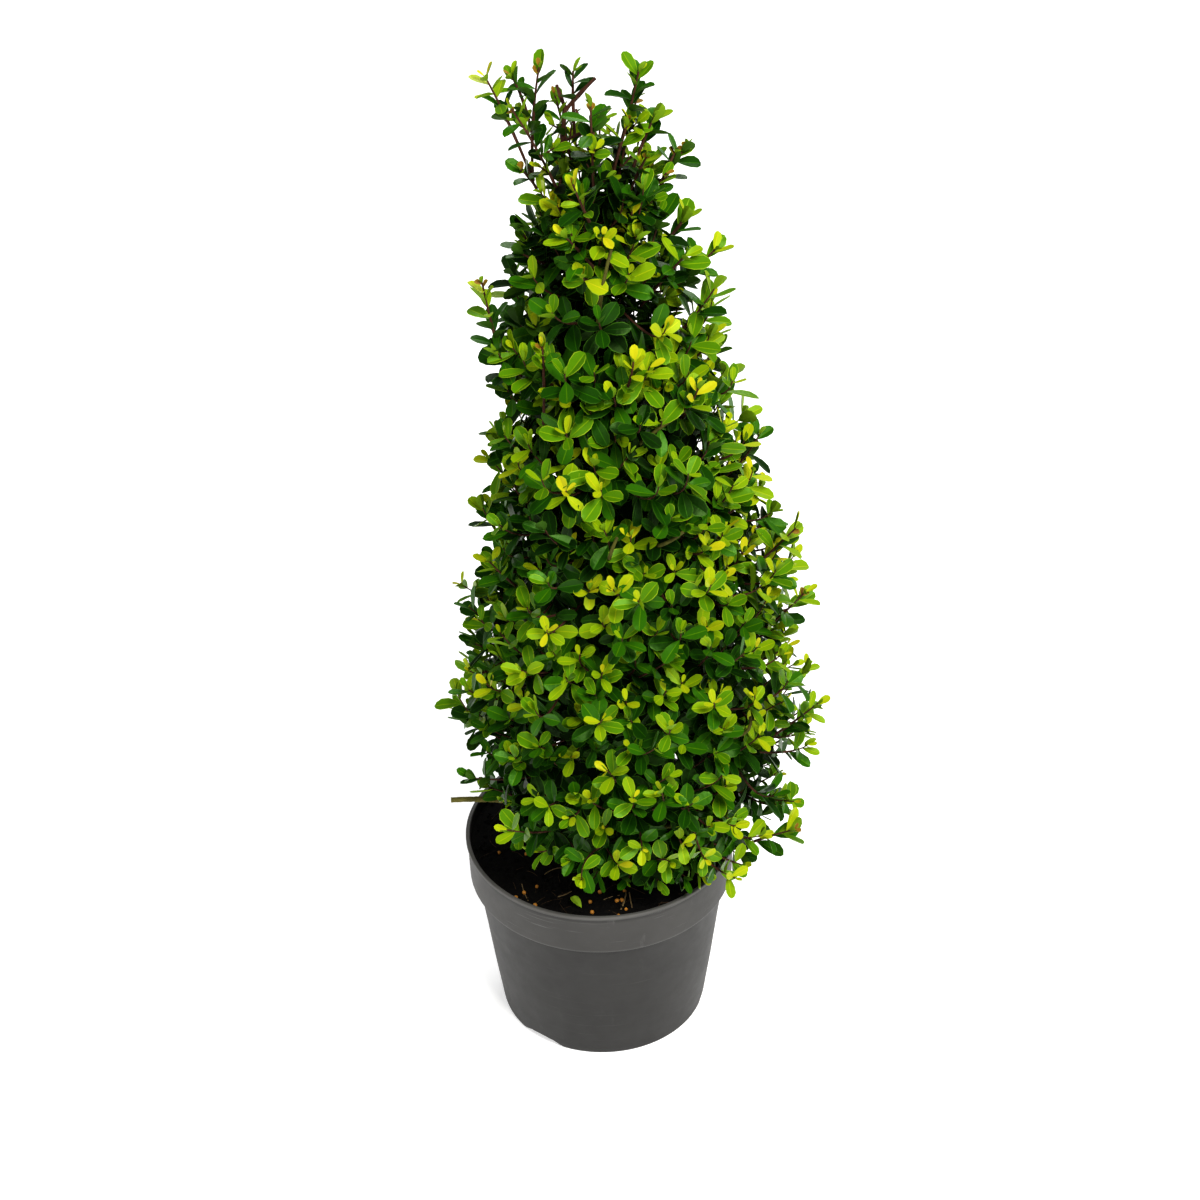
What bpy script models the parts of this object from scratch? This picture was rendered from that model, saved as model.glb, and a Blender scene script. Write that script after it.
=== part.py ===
"""A potted Japanese holly, grown as a loose, lightly clipped cone in a round nursery pot.

Units are metres and +Z is up. The origin is the centre of the pot's flat underside, and the front of
the plant faces -Y. Each object is one sub-part: the pot, the soil, the main stem, the boughs that
rise from it inside the bare middle of the crown, a pruned low branch, and the masses of foliage.

The crown is described round its own axis, which leans a little. A point of it has an azimuth, a
radius and a level: level = height - LIFT * radius, so a surface of one level climbs outwards as the
shoots do. Each mass of foliage keeps to a cell between two azimuths and two levels.
"""

import math
import random

import bmesh
import bpy
from mathutils import Vector

CLEARANCE = 0.0004  # between solids that meet

# Pot
RIM_RADIUS = 0.0953
POT_HEIGHT = 0.149
FOOT_RADIUS = 0.0742
COLLAR_BOTTOM = 0.1155
COLLAR_STEP = 0.0058
WALL = 0.0015
FLOOR_TOP = 0.008
FLOOR_RECESS = 0.004
BOSS_RADIUS = 0.014
FOOT_RING_WIDTH = 0.0135
POT_SIDES = 32
DRAIN_HOLES = 6
DRAIN_HOLE_RADIUS = 0.0045
DRAIN_RING_RADIUS = 0.038
FOOT_ARCHES = 3
FIRST_ARCH_DEG = 232.0
ARCH_HALF_WIDTH = 0.0185
ARCH_HEIGHT = 0.0055

# Soil
SOIL_EDGE = 0.1405
SOIL_MOUND = 0.0025

# Main stem
GROUND = SOIL_EDGE + SOIL_MOUND + CLEARANCE
STEM_TOP = 0.600
STEM_RADIUS = 0.0064
STEM_TIP_RADIUS = 0.0022
FLARE_RADIUS = 0.0105
FLARE_HEIGHT = 0.014
STEM_SIDES = 12
STEM_FOOT = Vector((0.006, 0.004, GROUND))
STEM_BULGE = 0.012  # how far the stem bows to the right on its way up
STEM_TOP_AT = Vector((0.003, 0.0, STEM_TOP))

# Crown
LIFT = 0.75
SKIRT_RADIUS = 0.119
SKIRT_HEIGHT = 0.250
SKIRT_ROUNDING = 0.120
SHOULDER_RADIUS = 0.042
SHOULDER_HEIGHT = 0.665
TAPER_POWER = 1.4
LEAN_LOW = Vector((0.023, 0.002))
LEAN_HIGH = Vector((0.007, 0.0))
LEAN_FROM, LEAN_TO = 0.40, 0.60
CELL_GAP = 0.0006

# The underside of the crown is a level too, and hangs lower on its right than on its left
FLOOR_LEVEL = 0.106
FLOOR_TILT = 0.024
FLOOR_LOWEST_AZIMUTH = math.radians(335.0)

# Tiers of foliage: name, lowest and highest level, number of masses, first azimuth in degrees,
# inner radius, height at which its boughs leave the stem, rows and columns of twigs in a mass
TIERS = (
    ("skirt", FLOOR_LEVEL, 0.205, 5, 36.0, 0.036, 0.156, 2, 3),
    ("lower", 0.205, 0.305, 5, 0.0, 0.032, 0.200, 2, 3),
    ("middle", 0.305, 0.410, 4, 45.0, 0.026, 0.285, 2, 3),
    ("upper", 0.410, 0.530, 3, 90.0, 0.019, 0.380, 2, 3),
)

# Leaders above the tiers: azimuth in degrees, radius and height of the tip
TOP_LEVEL = 0.530
TOP_TWIGS_TO = 0.640
LEADERS = (
    (186.0, 0.050, 0.717),
    (139.0, 0.031, 0.712),
    (84.0, 0.034, 0.690),
    (30.0, 0.030, 0.712),
    (350.0, 0.043, 0.672),
    (262.0, 0.016, 0.722),
)
LEADER_ROOT = 0.562
TOP_ROWS, TOP_COLUMNS = 3, 1

# Shoots that have outgrown the clipped cone: azimuth in degrees, height where it leaves the cone,
# length, and lean from the vertical in degrees
STRAYS = (
    (186.0, 0.500, 0.078, -3.0),
    (236.0, 0.470, 0.040, 6.0),
    (352.0, 0.560, 0.022, 30.0),
    (350.0, 0.385, 0.026, 38.0),
    (346.0, 0.340, 0.026, 36.0),
    (345.0, 0.255, 0.024, 42.0),
    (330.0, 0.180, 0.020, 60.0),
    (205.0, 0.385, 0.018, 32.0),
)

# Limbs and twigs
LOWEST_FORK = 0.168  # no bough runs into its mass below this height
BOUGH_RADIUS = 0.0032
BOUGH_TIP_RADIUS = 0.0021
LEADER_RADIUS = 0.0017
TWIG_RADIUS = 0.0015
TWIG_TIP_RADIUS = 0.0009
TWIG_DEPTH = (0.011, 0.021)  # how far inside the cone the twigs end
CORE_DEPTH = 0.035
CORE_INSET = 0.0015
CORE_LUMPS = 0.007
CORE_FOOT = 0.154
STUB_FROM = 0.150
STUB_RADIUS, STUB_TIP_RADIUS = 0.0030, 0.0021
STUB_TIP = Vector((-0.104, -0.004, 0.181))
STUB_BEND = Vector((-0.045, 0.002, 0.179))

# Leaves, larger than life
LEAF_LENGTH = 0.035
LEAF_WIDTH = 0.021
LEAF_THICKNESS = 0.0014
LEAF_SPLAY_DEG = 62.0
LIGHT_RISE = 0.7  # climb of the direction that leaves turn to, for each unit outwards
LEAVES_PER_TWIG = 3
LEAVES_PER_SHOOT = 3
LEAVES_PER_LEADER = 4
GOLDEN_ANGLE = math.radians(137.508)

SEED = 11


def clear_scene():
    for obj in list(bpy.data.objects):
        bpy.data.objects.remove(obj, do_unlink=True)


def material(name, colour, roughness, metallic=0.0):
    made = bpy.data.materials.new(name)
    made.use_nodes = True
    shader = made.node_tree.nodes["Principled BSDF"]
    shader.inputs["Base Color"].default_value = (*colour, 1.0)
    shader.inputs["Roughness"].default_value = roughness
    shader.inputs["Metallic"].default_value = metallic
    return made


def add_object(name, verts, faces, finish):
    """A mesh object whose faces are turned outwards."""
    mesh = bpy.data.meshes.new(name)
    mesh.from_pydata([tuple(v) for v in verts], [], faces)
    shape = bmesh.new()
    shape.from_mesh(mesh)
    bmesh.ops.recalc_face_normals(shape, faces=shape.faces)
    shape.to_mesh(mesh)
    shape.free()
    mesh.materials.append(finish)
    obj = bpy.data.objects.new(name, mesh)
    bpy.context.scene.collection.objects.link(obj)
    return obj


def lathe(name, profile, sides, finish):
    """The solid that a profile of (radius, height) points, from the axis back to the axis, turns."""
    shape = bmesh.new()
    points = [shape.verts.new((radius, 0.0, height)) for radius, height in profile]
    edges = [shape.edges.new(pair) for pair in zip(points, points[1:])]
    bmesh.ops.spin(
        shape,
        geom=points + edges,
        cent=(0, 0, 0),
        axis=(0, 0, 1),
        angle=math.tau,
        steps=sides,
        use_merge=True,
    )
    bmesh.ops.remove_doubles(shape, verts=shape.verts, dist=1e-6)
    bmesh.ops.recalc_face_normals(shape, faces=shape.faces)
    mesh = bpy.data.meshes.new(name)
    shape.to_mesh(mesh)
    shape.free()
    mesh.shade_smooth()
    mesh.set_sharp_from_angle(angle=math.radians(35))
    mesh.materials.append(finish)
    obj = bpy.data.objects.new(name, mesh)
    bpy.context.scene.collection.objects.link(obj)
    return obj


def round_cutter(name, radius, depth, location, rotation, sides):
    """A round bar that a Boolean takes away."""
    shape = bmesh.new()
    bmesh.ops.create_cone(
        shape, cap_ends=True, segments=sides, radius1=radius, radius2=radius, depth=depth
    )
    mesh = bpy.data.meshes.new(name)
    shape.to_mesh(mesh)
    shape.free()
    obj = bpy.data.objects.new(name, mesh)
    obj.location = location
    obj.rotation_euler = rotation
    return obj


def apply_boolean(obj, others, operation, solver="EXACT"):
    """Joins or cuts obj with the other objects in one Boolean, applies it and removes them."""
    group = bpy.data.collections.new(obj.name + "_operands")
    bpy.context.scene.collection.children.link(group)
    for other in others:
        for home in list(other.users_collection):
            home.objects.unlink(other)
        group.objects.link(other)
    boolean = obj.modifiers.new("Boolean", "BOOLEAN")
    boolean.operation = operation
    boolean.operand_type = "COLLECTION"
    boolean.collection = group
    boolean.solver = solver
    bpy.context.view_layer.update()
    evaluated = obj.evaluated_get(bpy.context.evaluated_depsgraph_get())
    joined = bpy.data.meshes.new_from_object(evaluated)
    obj.modifiers.clear()
    obj.data = joined
    for other in others:
        bpy.data.objects.remove(other, do_unlink=True)
    bpy.data.collections.remove(group)


def keep_main_body(obj):
    """Drops loose scraps and the walls of sealed hollows, so that one solid is left."""
    shape = bmesh.new()
    shape.from_mesh(obj.data)
    bmesh.ops.triangulate(shape, faces=shape.faces)
    shape.faces.ensure_lookup_table()
    seen = set()
    bodies = []
    for first in shape.faces:
        if first in seen:
            continue
        body, todo = [], [first]
        seen.add(first)
        while todo:
            face = todo.pop()
            body.append(face)
            for edge in face.edges:
                for other in edge.link_faces:
                    if other not in seen:
                        seen.add(other)
                        todo.append(other)
        bodies.append(body)

    def volume(body):
        corners = ([v.co for v in face.verts] for face in body)
        return sum(a.dot(b.cross(c)) for a, b, c in corners)

    main = max(bodies, key=volume)
    extra = [face for body in bodies if body is not main for face in body]
    bmesh.ops.delete(shape, geom=extra, context="FACES")
    shape.to_mesh(obj.data)
    shape.free()


def bezier(start, bend, end, t):
    return start * (1 - t) ** 2 + bend * (2 * t * (1 - t)) + end * t**2


def tube_faces(rings, sides):
    """Faces of a closed tube of rings, each with the same number of sides."""
    faces = [tuple(reversed(range(sides))), tuple(range((rings - 1) * sides, rings * sides))]
    for i in range(rings - 1):
        low, high = i * sides, (i + 1) * sides
        for j in range(sides):
            k = (j + 1) % sides
            faces.append((low + j, low + k, high + k, high + j))
    return faces


def tube(path, radii, sides, rings):
    """A closed tube along a bent path of (start, bend, end), its rings square to the path."""
    start, bend, end = path
    verts = []
    side = Vector((1.0, 0.0, 0.0))
    for i in range(rings + 1):
        t = i / rings
        along = ((bend - start) * (1 - t) + (end - bend) * t).normalized()
        side = side - along * side.dot(along)
        if side.length < 0.1:
            side = along.orthogonal()
        side.normalize()
        across = along.cross(side)
        radius = radii[0] + (radii[1] - radii[0]) * t
        for j in range(sides):
            turn = math.tau * j / sides
            out = side * math.cos(turn) + across * math.sin(turn)
            verts.append(bezier(start, bend, end, t) + out * radius)
    return verts, tube_faces(rings + 1, sides)


def smoothstep(low, high, value):
    t = min(max((value - low) / (high - low), 0.0), 1.0)
    return t * t * (3 - 2 * t)


def crown_axis(height):
    """Where the crown's leaning axis passes at a height."""
    return LEAN_LOW.lerp(LEAN_HIGH, smoothstep(LEAN_FROM, LEAN_TO, height))


def crown_radius(height, azimuth):
    """The clipped cone: round below the skirt, tapering above it, with low waves round it."""
    if height < SKIRT_HEIGHT:
        drop = min((SKIRT_HEIGHT - height) / SKIRT_ROUNDING, 1.0)
        radius = SKIRT_RADIUS * (1 - drop**4) ** 0.25
    else:
        rise = min((height - SKIRT_HEIGHT) / (SHOULDER_HEIGHT - SKIRT_HEIGHT), 1.0)
        radius = SKIRT_RADIUS + (SHOULDER_RADIUS - SKIRT_RADIUS) * rise**TAPER_POWER
    waves = 0.035 * math.sin(3 * azimuth + 0.6) + 0.03 * math.sin(5 * azimuth + 31 * height)
    return radius * (1 + waves)


def crown_point(azimuth, radius, level):
    """World point of an azimuth, a radius and a level."""
    height = level + LIFT * radius
    centre = crown_axis(height)
    return Vector(
        (centre.x + radius * math.cos(azimuth), centre.y + radius * math.sin(azimuth), height)
    )


def crown_place(point):
    """Azimuth, radius and level of a world point."""
    offset = Vector((point.x, point.y)) - crown_axis(point.z)
    return math.atan2(offset.y, offset.x), offset.length, point.z - LIFT * offset.length


def surface_radius(azimuth, level):
    """The radius at which the surface of a level leaves the clipped cone, by halving."""
    near, far = 0.0, 2 * SKIRT_RADIUS
    for _ in range(18):
        middle = (near + far) / 2
        if middle < crown_radius(level + LIFT * middle, azimuth):
            near = middle
        else:
            far = middle
    return near


def stub_path():
    """Start, bend and end of the pruned branch low on the left."""
    gap = Vector((stem_radius(STUB_FROM) + STUB_RADIUS + CLEARANCE, 0.0, 0.0))
    return stem_point(STUB_FROM) - gap, STUB_BEND, STUB_TIP


def near_stub(point, margin):
    """Whether a point is within a margin of the pruned branch."""
    return any((bezier(*stub_path(), i / 12) - point).length < margin for i in range(13))


class Mass:
    """One mass of foliage and the cell that it keeps to."""

    def __init__(self, name, azimuths, levels, inner, rows, columns):
        self.name = name
        self.first, self.last = azimuths
        self.low, self.high = levels
        self.twigs_to = self.high
        self.inner = inner
        self.rows, self.columns = rows, columns
        self.middle = (self.first + self.last) / 2
        self.random = random.Random(f"{name} {SEED}")

    def bottom(self, azimuth):
        """The lowest level, which tilts with the underside of the crown."""
        if self.low > FLOOR_LEVEL:
            return self.low
        return self.low - FLOOR_TILT * math.cos(azimuth - FLOOR_LOWEST_AZIMUTH)

    def level(self, azimuth, share):
        """The level a share of the way up the cell."""
        bottom = self.bottom(azimuth)
        return bottom + (self.twigs_to - bottom) * share

    def holds(self, point, margin=CELL_GAP):
        """Whether a point is in the cell, margin clear of its sides and of the soil."""
        azimuth, radius, level = crown_place(point)
        turn = (azimuth - self.first) % math.tau
        span = self.last - self.first
        slack = margin / max(radius, margin)
        if not slack < turn < span - slack or radius < self.inner + margin:
            return False
        if point.z < GROUND + margin or near_stub(point, STUB_RADIUS + 0.006):
            return False
        return self.bottom(azimuth) + margin < level < self.high - margin

    def targets(self):
        """Twig tips: a jittered grid over the outer face of the cell."""
        found = []
        for row in range(self.rows):
            for column in range(self.columns):
                across = (column + 0.5 + self.random.uniform(-0.22, 0.22)) / self.columns
                azimuth = self.first + (self.last - self.first) * across
                up = (row + 0.5 + self.random.uniform(-0.22, 0.22)) / self.rows
                level = self.level(azimuth, up)
                radius = surface_radius(azimuth, level) - self.random.uniform(*TWIG_DEPTH)
                found.append(crown_point(azimuth, radius, level))
        return found

    def strays(self):
        """(knee, tip) of each outgrown shoot that leaves the cone inside this cell."""
        found = []
        for azimuth_deg, height, length, lean_deg in STRAYS:
            azimuth, lean = math.radians(azimuth_deg), math.radians(lean_deg)
            radius = crown_radius(height, azimuth) - 0.012
            knee = crown_point(azimuth, radius, height - LIFT * radius)
            out = Vector((math.cos(azimuth), math.sin(azimuth), 0.0))
            tip = knee + (out * math.sin(lean) + Vector((0, 0, 1)) * math.cos(lean)) * length
            if self.holds(knee, 0.004):
                found.append((knee, tip))
        return found


def twig_shape(mass, start, end, widths):
    """A three-sided twig, or nothing where it would leave the cell."""
    checks = [start.lerp(end, t) for t in (0.35, 0.6, 0.8, 1.0)]
    if not all(mass.holds(point, CELL_GAP + widths[1]) for point in checks):
        return []
    return [tube((start, start.lerp(end, 0.5), end), widths, 3, 1)]


def leaf_shape(mass, root, along, face, size):
    """A leaf, flat below and ridged above, or nothing where it would leave the cell."""
    across = along.cross(face).normalized()
    length, width = LEAF_LENGTH * size, LEAF_WIDTH * size
    broadest = root + along * (0.55 * length)
    verts = [
        root,
        broadest + across * (width / 2),
        root + along * length,
        broadest - across * (width / 2),
        broadest + face * LEAF_THICKNESS,
    ]
    if not all(mass.holds(vert) for vert in verts[1:]):
        return []
    return [(verts, [(0, 1, 2, 3), (0, 1, 4), (1, 2, 4), (2, 3, 4), (3, 0, 4)])]


def leafy_end(mass, start, end, count, spread):
    """Leaves round the outer part of a twig, turned out and up to the light, one at its tip."""
    along_twig = (end - start).normalized()
    azimuth = crown_place(end)[0]
    light = Vector((math.cos(azimuth), math.sin(azimuth), LIGHT_RISE)).normalized()
    axis = (along_twig + light).normalized()
    side = axis.cross(Vector((0, 0, 1))).normalized()
    across = side.cross(axis)
    splay = math.radians(LEAF_SPLAY_DEG)
    turn = mass.random.uniform(0, math.tau)
    shapes = leaf_shape(mass, end - along_twig * 0.004, axis, across, 0.8)
    for i in range(count):
        root = end - along_twig * (0.005 + spread * i / max(count, 1))
        for _ in range(4):
            turn += GOLDEN_ANGLE
            out = side * math.cos(turn) + across * math.sin(turn)
            along = axis * math.cos(splay) + out * math.sin(splay)
            face = axis * math.sin(splay) - out * math.cos(splay)
            size = mass.random.uniform(0.85, 1.1)
            leaf = leaf_shape(mass, root, along, face, size)
            if leaf:
                break
        shapes += leaf
    return shapes


def core(mass):
    """The dense inside of a mass: a lumpy block that follows the cell and the clipped cone."""
    columns, levels = 4, 3
    verts = []
    for outside in (False, True):
        for i in range(columns + 1):
            for j in range(levels + 1):
                radius = mass.inner + 0.003
                inset = CORE_INSET / radius
                span = mass.last - mass.first - 2 * inset
                azimuth = mass.first + inset + span * i / columns
                bottom = mass.bottom(azimuth) + CORE_INSET
                level = bottom + (mass.high - CORE_INSET - bottom) * j / levels
                if outside:
                    depth = CORE_DEPTH + CORE_LUMPS * mass.random.uniform(-1, 1)
                    radius = max(surface_radius(azimuth, level) - depth, radius + 0.006)
                level = max(level, CORE_FOOT - LIFT * radius + 0.004 * j)
                verts.append(crown_point(azimuth, radius, level))
    row, sheet = levels + 1, (levels + 1) * (columns + 1)
    faces = []
    for i in range(columns):
        for j in range(levels):
            a = i * row + j
            quad = (a, a + 1, a + row + 1, a + row)
            faces.append(quad)
            faces.append(tuple(v + sheet for v in quad))
    rim = list(range(row))
    rim += [i * row + levels for i in range(1, columns + 1)]
    rim += [columns * row + j for j in range(levels - 1, -1, -1)]
    rim += [i * row for i in range(columns - 1, 0, -1)]
    for a, b in zip(rim, rim[1:] + rim[:1]):
        faces.append((a, b, b + sheet, a + sheet))
    return verts, faces


def stem_path(mass, root, heading):
    """The stem inside a mass: it goes on from its bough and ends in the thick of the leaves."""
    level = mass.level(mass.middle, 0.55)
    radius = surface_radius(mass.middle, level) - CORE_DEPTH - 0.004
    end = crown_point(mass.middle, max(radius, mass.inner + 0.012), level)
    bend = root + heading * (0.5 * (end - root).length)
    return root, bend, end


def fused(name, shapes, finish, cut_by=()):
    """One solid out of closed shapes that run into each other, the first of them cut clear."""
    base = add_object(name, *shapes[0], finish)
    if cut_by:
        apply_boolean(base, [add_object("cutter", *shape, finish) for shape in cut_by], "DIFFERENCE")
    others = [add_object("shape", *shape, finish) for shape in shapes[1:]]
    apply_boolean(base, others, "UNION")
    keep_main_body(base)
    return base


def sprays(mass, path, nearest, furthest):
    """Twigs with leaves, from a stem's path to the mass's targets."""
    shapes = []
    for target in mass.targets():
        away = bezier(*path, mass.random.uniform(nearest, furthest))
        twig = twig_shape(mass, away, target, (TWIG_RADIUS, TWIG_TIP_RADIUS))
        if twig:
            shapes += twig + leafy_end(mass, away, target, LEAVES_PER_TWIG, 0.012)
    return shapes


def outgrown(mass, path):
    """Shoots that have outgrown the cone, each of a twig to the cone's surface and one beyond."""
    shapes = []
    widths = (TWIG_RADIUS, TWIG_TIP_RADIUS)
    for knee, tip in mass.strays():
        inside = twig_shape(mass, bezier(*path, 0.9), knee, widths)
        outside = twig_shape(mass, knee - (tip - knee) * 0.04, tip, widths)
        if inside and outside:
            spread = (tip - knee).length * 0.8
            shapes += inside + outside
            shapes += leafy_end(mass, knee, tip, LEAVES_PER_SHOOT, spread)
    return shapes


def foliage(mass, root, heading, finish):
    """A mass: its core and stem, with twigs and leaves fused on."""
    path = stem_path(mass, root, heading)
    shapes = [core(mass), tube(path, (BOUGH_TIP_RADIUS, BOUGH_TIP_RADIUS), 5, 3)]
    shapes += sprays(mass, path, 0.35, 0.85)
    shapes += outgrown(mass, path)
    clear = [stub_clearance()] if mass.low <= FLOOR_LEVEL else []
    return fused(mass.name, shapes, finish, clear)


def leader(mass, tip, root, finish):
    """A top mass: an upright leader that is its own stem, and twigs round its foot."""
    rise = Vector((0, 0, 1))
    path = (root, root + rise * (0.45 * (tip - root).length), tip)
    shapes = [tube(path, (LEADER_RADIUS, TWIG_TIP_RADIUS), 5, 5)]
    shapes += leafy_end(mass, bezier(*path, 0.5), tip, LEAVES_PER_LEADER, 0.08)
    shapes += sprays(mass, path, 0.12, 0.45)
    return fused(mass.name, shapes, finish)


def leader_root(mass):
    """Where a leader starts, just off the main stem's tip."""
    out = Vector((math.cos(mass.middle), math.sin(mass.middle), 0.0))
    gap = stem_radius(LEADER_ROOT) + LEADER_RADIUS + 2 * CLEARANCE
    return stem_point(LEADER_ROOT) + out * gap


def pot(finish):
    """The nursery pot: tapering wall, deep collar, rolled lip, drained floor and arched foot."""
    collar = RIM_RADIUS - 0.0011
    wall_top = collar - COLLAR_STEP
    inner_top = wall_top - WALL
    profile = [
        (0.0, 0.0),
        (BOSS_RADIUS, 0.0),
        (BOSS_RADIUS + 0.001, FLOOR_RECESS),
        (FOOT_RADIUS - FOOT_RING_WIDTH - 0.001, FLOOR_RECESS),
        (FOOT_RADIUS - FOOT_RING_WIDTH, 0.0),
        (FOOT_RADIUS - 0.0018, 0.0),
        (FOOT_RADIUS, 0.0020),
        (wall_top, COLLAR_BOTTOM - 0.0030),
        (wall_top + 0.0010, COLLAR_BOTTOM - 0.0012),
        (collar - 0.0016, COLLAR_BOTTOM),
        (collar - 0.0004, COLLAR_BOTTOM + 0.0016),
        (collar, POT_HEIGHT - 0.0030),
        (RIM_RADIUS, POT_HEIGHT - 0.0024),
        (RIM_RADIUS, POT_HEIGHT - 0.0006),
        (RIM_RADIUS - 0.0007, POT_HEIGHT),
        (RIM_RADIUS - 0.0022, POT_HEIGHT),
        (RIM_RADIUS - 0.0028, POT_HEIGHT - 0.0008),
        (collar - 0.0020, COLLAR_BOTTOM + 0.0014),
        (inner_top, COLLAR_BOTTOM + 0.0002),
        (inner_top, COLLAR_BOTTOM - 0.0024),
        (FOOT_RADIUS - 0.0008, FLOOR_TOP),
        (0.0, FLOOR_TOP),
    ]
    made = lathe("pot", profile, POT_SIDES, finish)
    cutters = []
    for i in range(DRAIN_HOLES):
        turn = math.tau * i / DRAIN_HOLES
        place = (DRAIN_RING_RADIUS * math.cos(turn), DRAIN_RING_RADIUS * math.sin(turn), 0.006)
        cutters.append(round_cutter("drain", DRAIN_HOLE_RADIUS, 0.012, place, (0, 0, turn), 10))
    arch_radius = (ARCH_HALF_WIDTH**2 + ARCH_HEIGHT**2) / (2 * ARCH_HEIGHT)
    for i in range(FOOT_ARCHES):
        turn = math.radians(FIRST_ARCH_DEG) + math.tau * i / FOOT_ARCHES
        middle = FOOT_RADIUS - 0.5 * FOOT_RING_WIDTH + 0.004
        place = (middle * math.cos(turn), middle * math.sin(turn), ARCH_HEIGHT - arch_radius)
        across = (math.pi / 2, 0, turn + math.pi / 2)
        cutters.append(
            round_cutter("arch", arch_radius, FOOT_RING_WIDTH + 0.009, place, across, 48)
        )
    apply_boolean(made, cutters, "DIFFERENCE")
    return made


def soil(finish):
    """The potting soil: it fills the pot to just under the rim, with a low mound at the stem."""
    collar = RIM_RADIUS - 0.0011 - 0.0020 - CLEARANCE
    wall_top = RIM_RADIUS - 0.0011 - COLLAR_STEP - WALL - CLEARANCE
    profile = [
        (0.0, FLOOR_TOP + CLEARANCE),
        (FOOT_RADIUS - 0.0008 - CLEARANCE, FLOOR_TOP + CLEARANCE),
        (wall_top, COLLAR_BOTTOM - 0.0024),
        (wall_top, COLLAR_BOTTOM + 0.0002 + CLEARANCE),
        (collar, COLLAR_BOTTOM + 0.0014 + 2 * CLEARANCE),
        (collar, SOIL_EDGE),
        (0.030, SOIL_EDGE + SOIL_MOUND),
        (0.0, SOIL_EDGE + SOIL_MOUND),
    ]
    return lathe("soil", profile, POT_SIDES, finish)


def stem_point(height):
    """The main stem's centre at a height: it bows to the right and comes back."""
    t = (height - GROUND) / (STEM_TOP - GROUND)
    bow = Vector((STEM_BULGE * math.sin(math.pi * t), 0.002 * math.sin(math.tau * t), 0.0))
    place = STEM_FOOT.lerp(STEM_TOP_AT, t) + bow
    return Vector((place.x, place.y, height))


def stem_radius(height):
    t = (height - GROUND) / (STEM_TOP - GROUND)
    flare = (FLARE_RADIUS - STEM_RADIUS) * math.exp(-(height - GROUND) / FLARE_HEIGHT * 1.8)
    return STEM_RADIUS + (STEM_TIP_RADIUS - STEM_RADIUS) * t**0.85 + flare


def main_stem(bark):
    """The trunk: level rings from its flat cut at ground level to its tip inside the crown."""
    flare_rings = [GROUND + FLARE_HEIGHT * share for share in (0.0, 0.25, 0.6, 1.2)]
    rise = STEM_TOP - flare_rings[-1]
    heights = flare_rings + [flare_rings[-1] + rise * i / 10 for i in range(1, 11)]
    verts = []
    for height in heights:
        flare = math.exp(-(height - GROUND) / FLARE_HEIGHT * 1.8)
        for j in range(STEM_SIDES):
            turn = math.tau * j / STEM_SIDES
            radius = stem_radius(height) * (1 + 0.14 * flare * math.cos(4 * turn + 0.5))
            out = Vector((math.cos(turn), math.sin(turn), 0.0))
            verts.append(stem_point(height) + out * radius)
    return add_object("main_stem", verts, tube_faces(len(heights), STEM_SIDES), bark)


def bough_ends(mass, leaves_at):
    """Start, bend and end of the bough that feeds a mass."""
    level = max(mass.level(mass.middle, 0.2), LOWEST_FORK - LIFT * mass.inner)
    end = crown_point(mass.middle, mass.inner, level)
    out = Vector((math.cos(mass.middle), math.sin(mass.middle), 0.0))
    gap = stem_radius(leaves_at) + BOUGH_RADIUS + 2 * CLEARANCE
    start = stem_point(leaves_at) + out * gap
    bend = Vector((*start.lerp(end, 0.75).xy, start.z + 0.3 * (end.z - start.z)))
    return start, bend, end


def stub_clearance():
    """The room that the pruned branch needs where it passes through the lowest cores."""
    return tube(stub_path(), (STUB_RADIUS + 0.0012, STUB_RADIUS + 0.0012), 8, 8)


def tier_masses():
    """(mass, height where its bough leaves the stem) for each mass of each tier."""
    for name, low, high, count, first_deg, inner, leaves_at, rows, columns in TIERS:
        span = math.tau / count
        for i in range(count):
            first = math.radians(first_deg) + span * i
            cell = Mass(f"{name}_{i + 1}", (first, first + span), (low, high), inner, rows, columns)
            yield cell, leaves_at + 0.006 * (i % 3)


def leader_masses():
    """(mass, tip) for each leader. A cell's sides lie half way to the leaders next to it."""
    turns = [math.radians(leader_deg) for leader_deg, _, _ in LEADERS]
    order = sorted(range(len(turns)), key=lambda i: turns[i])
    for place, i in enumerate(order):
        before = turns[order[place - 1]] - (math.tau if place == 0 else 0)
        wraps = place == len(order) - 1
        after = turns[order[(place + 1) % len(order)]] + (math.tau if wraps else 0)
        sides = ((turns[i] + before) / 2, (turns[i] + after) / 2)
        _, radius, height = LEADERS[i]
        cell = Mass(f"top_{place + 1}", sides, (TOP_LEVEL, 1.0), 0.0, TOP_ROWS, TOP_COLUMNS)
        cell.twigs_to = TOP_TWIGS_TO
        yield cell, crown_point(turns[i], radius, height - LIFT * radius)


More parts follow.
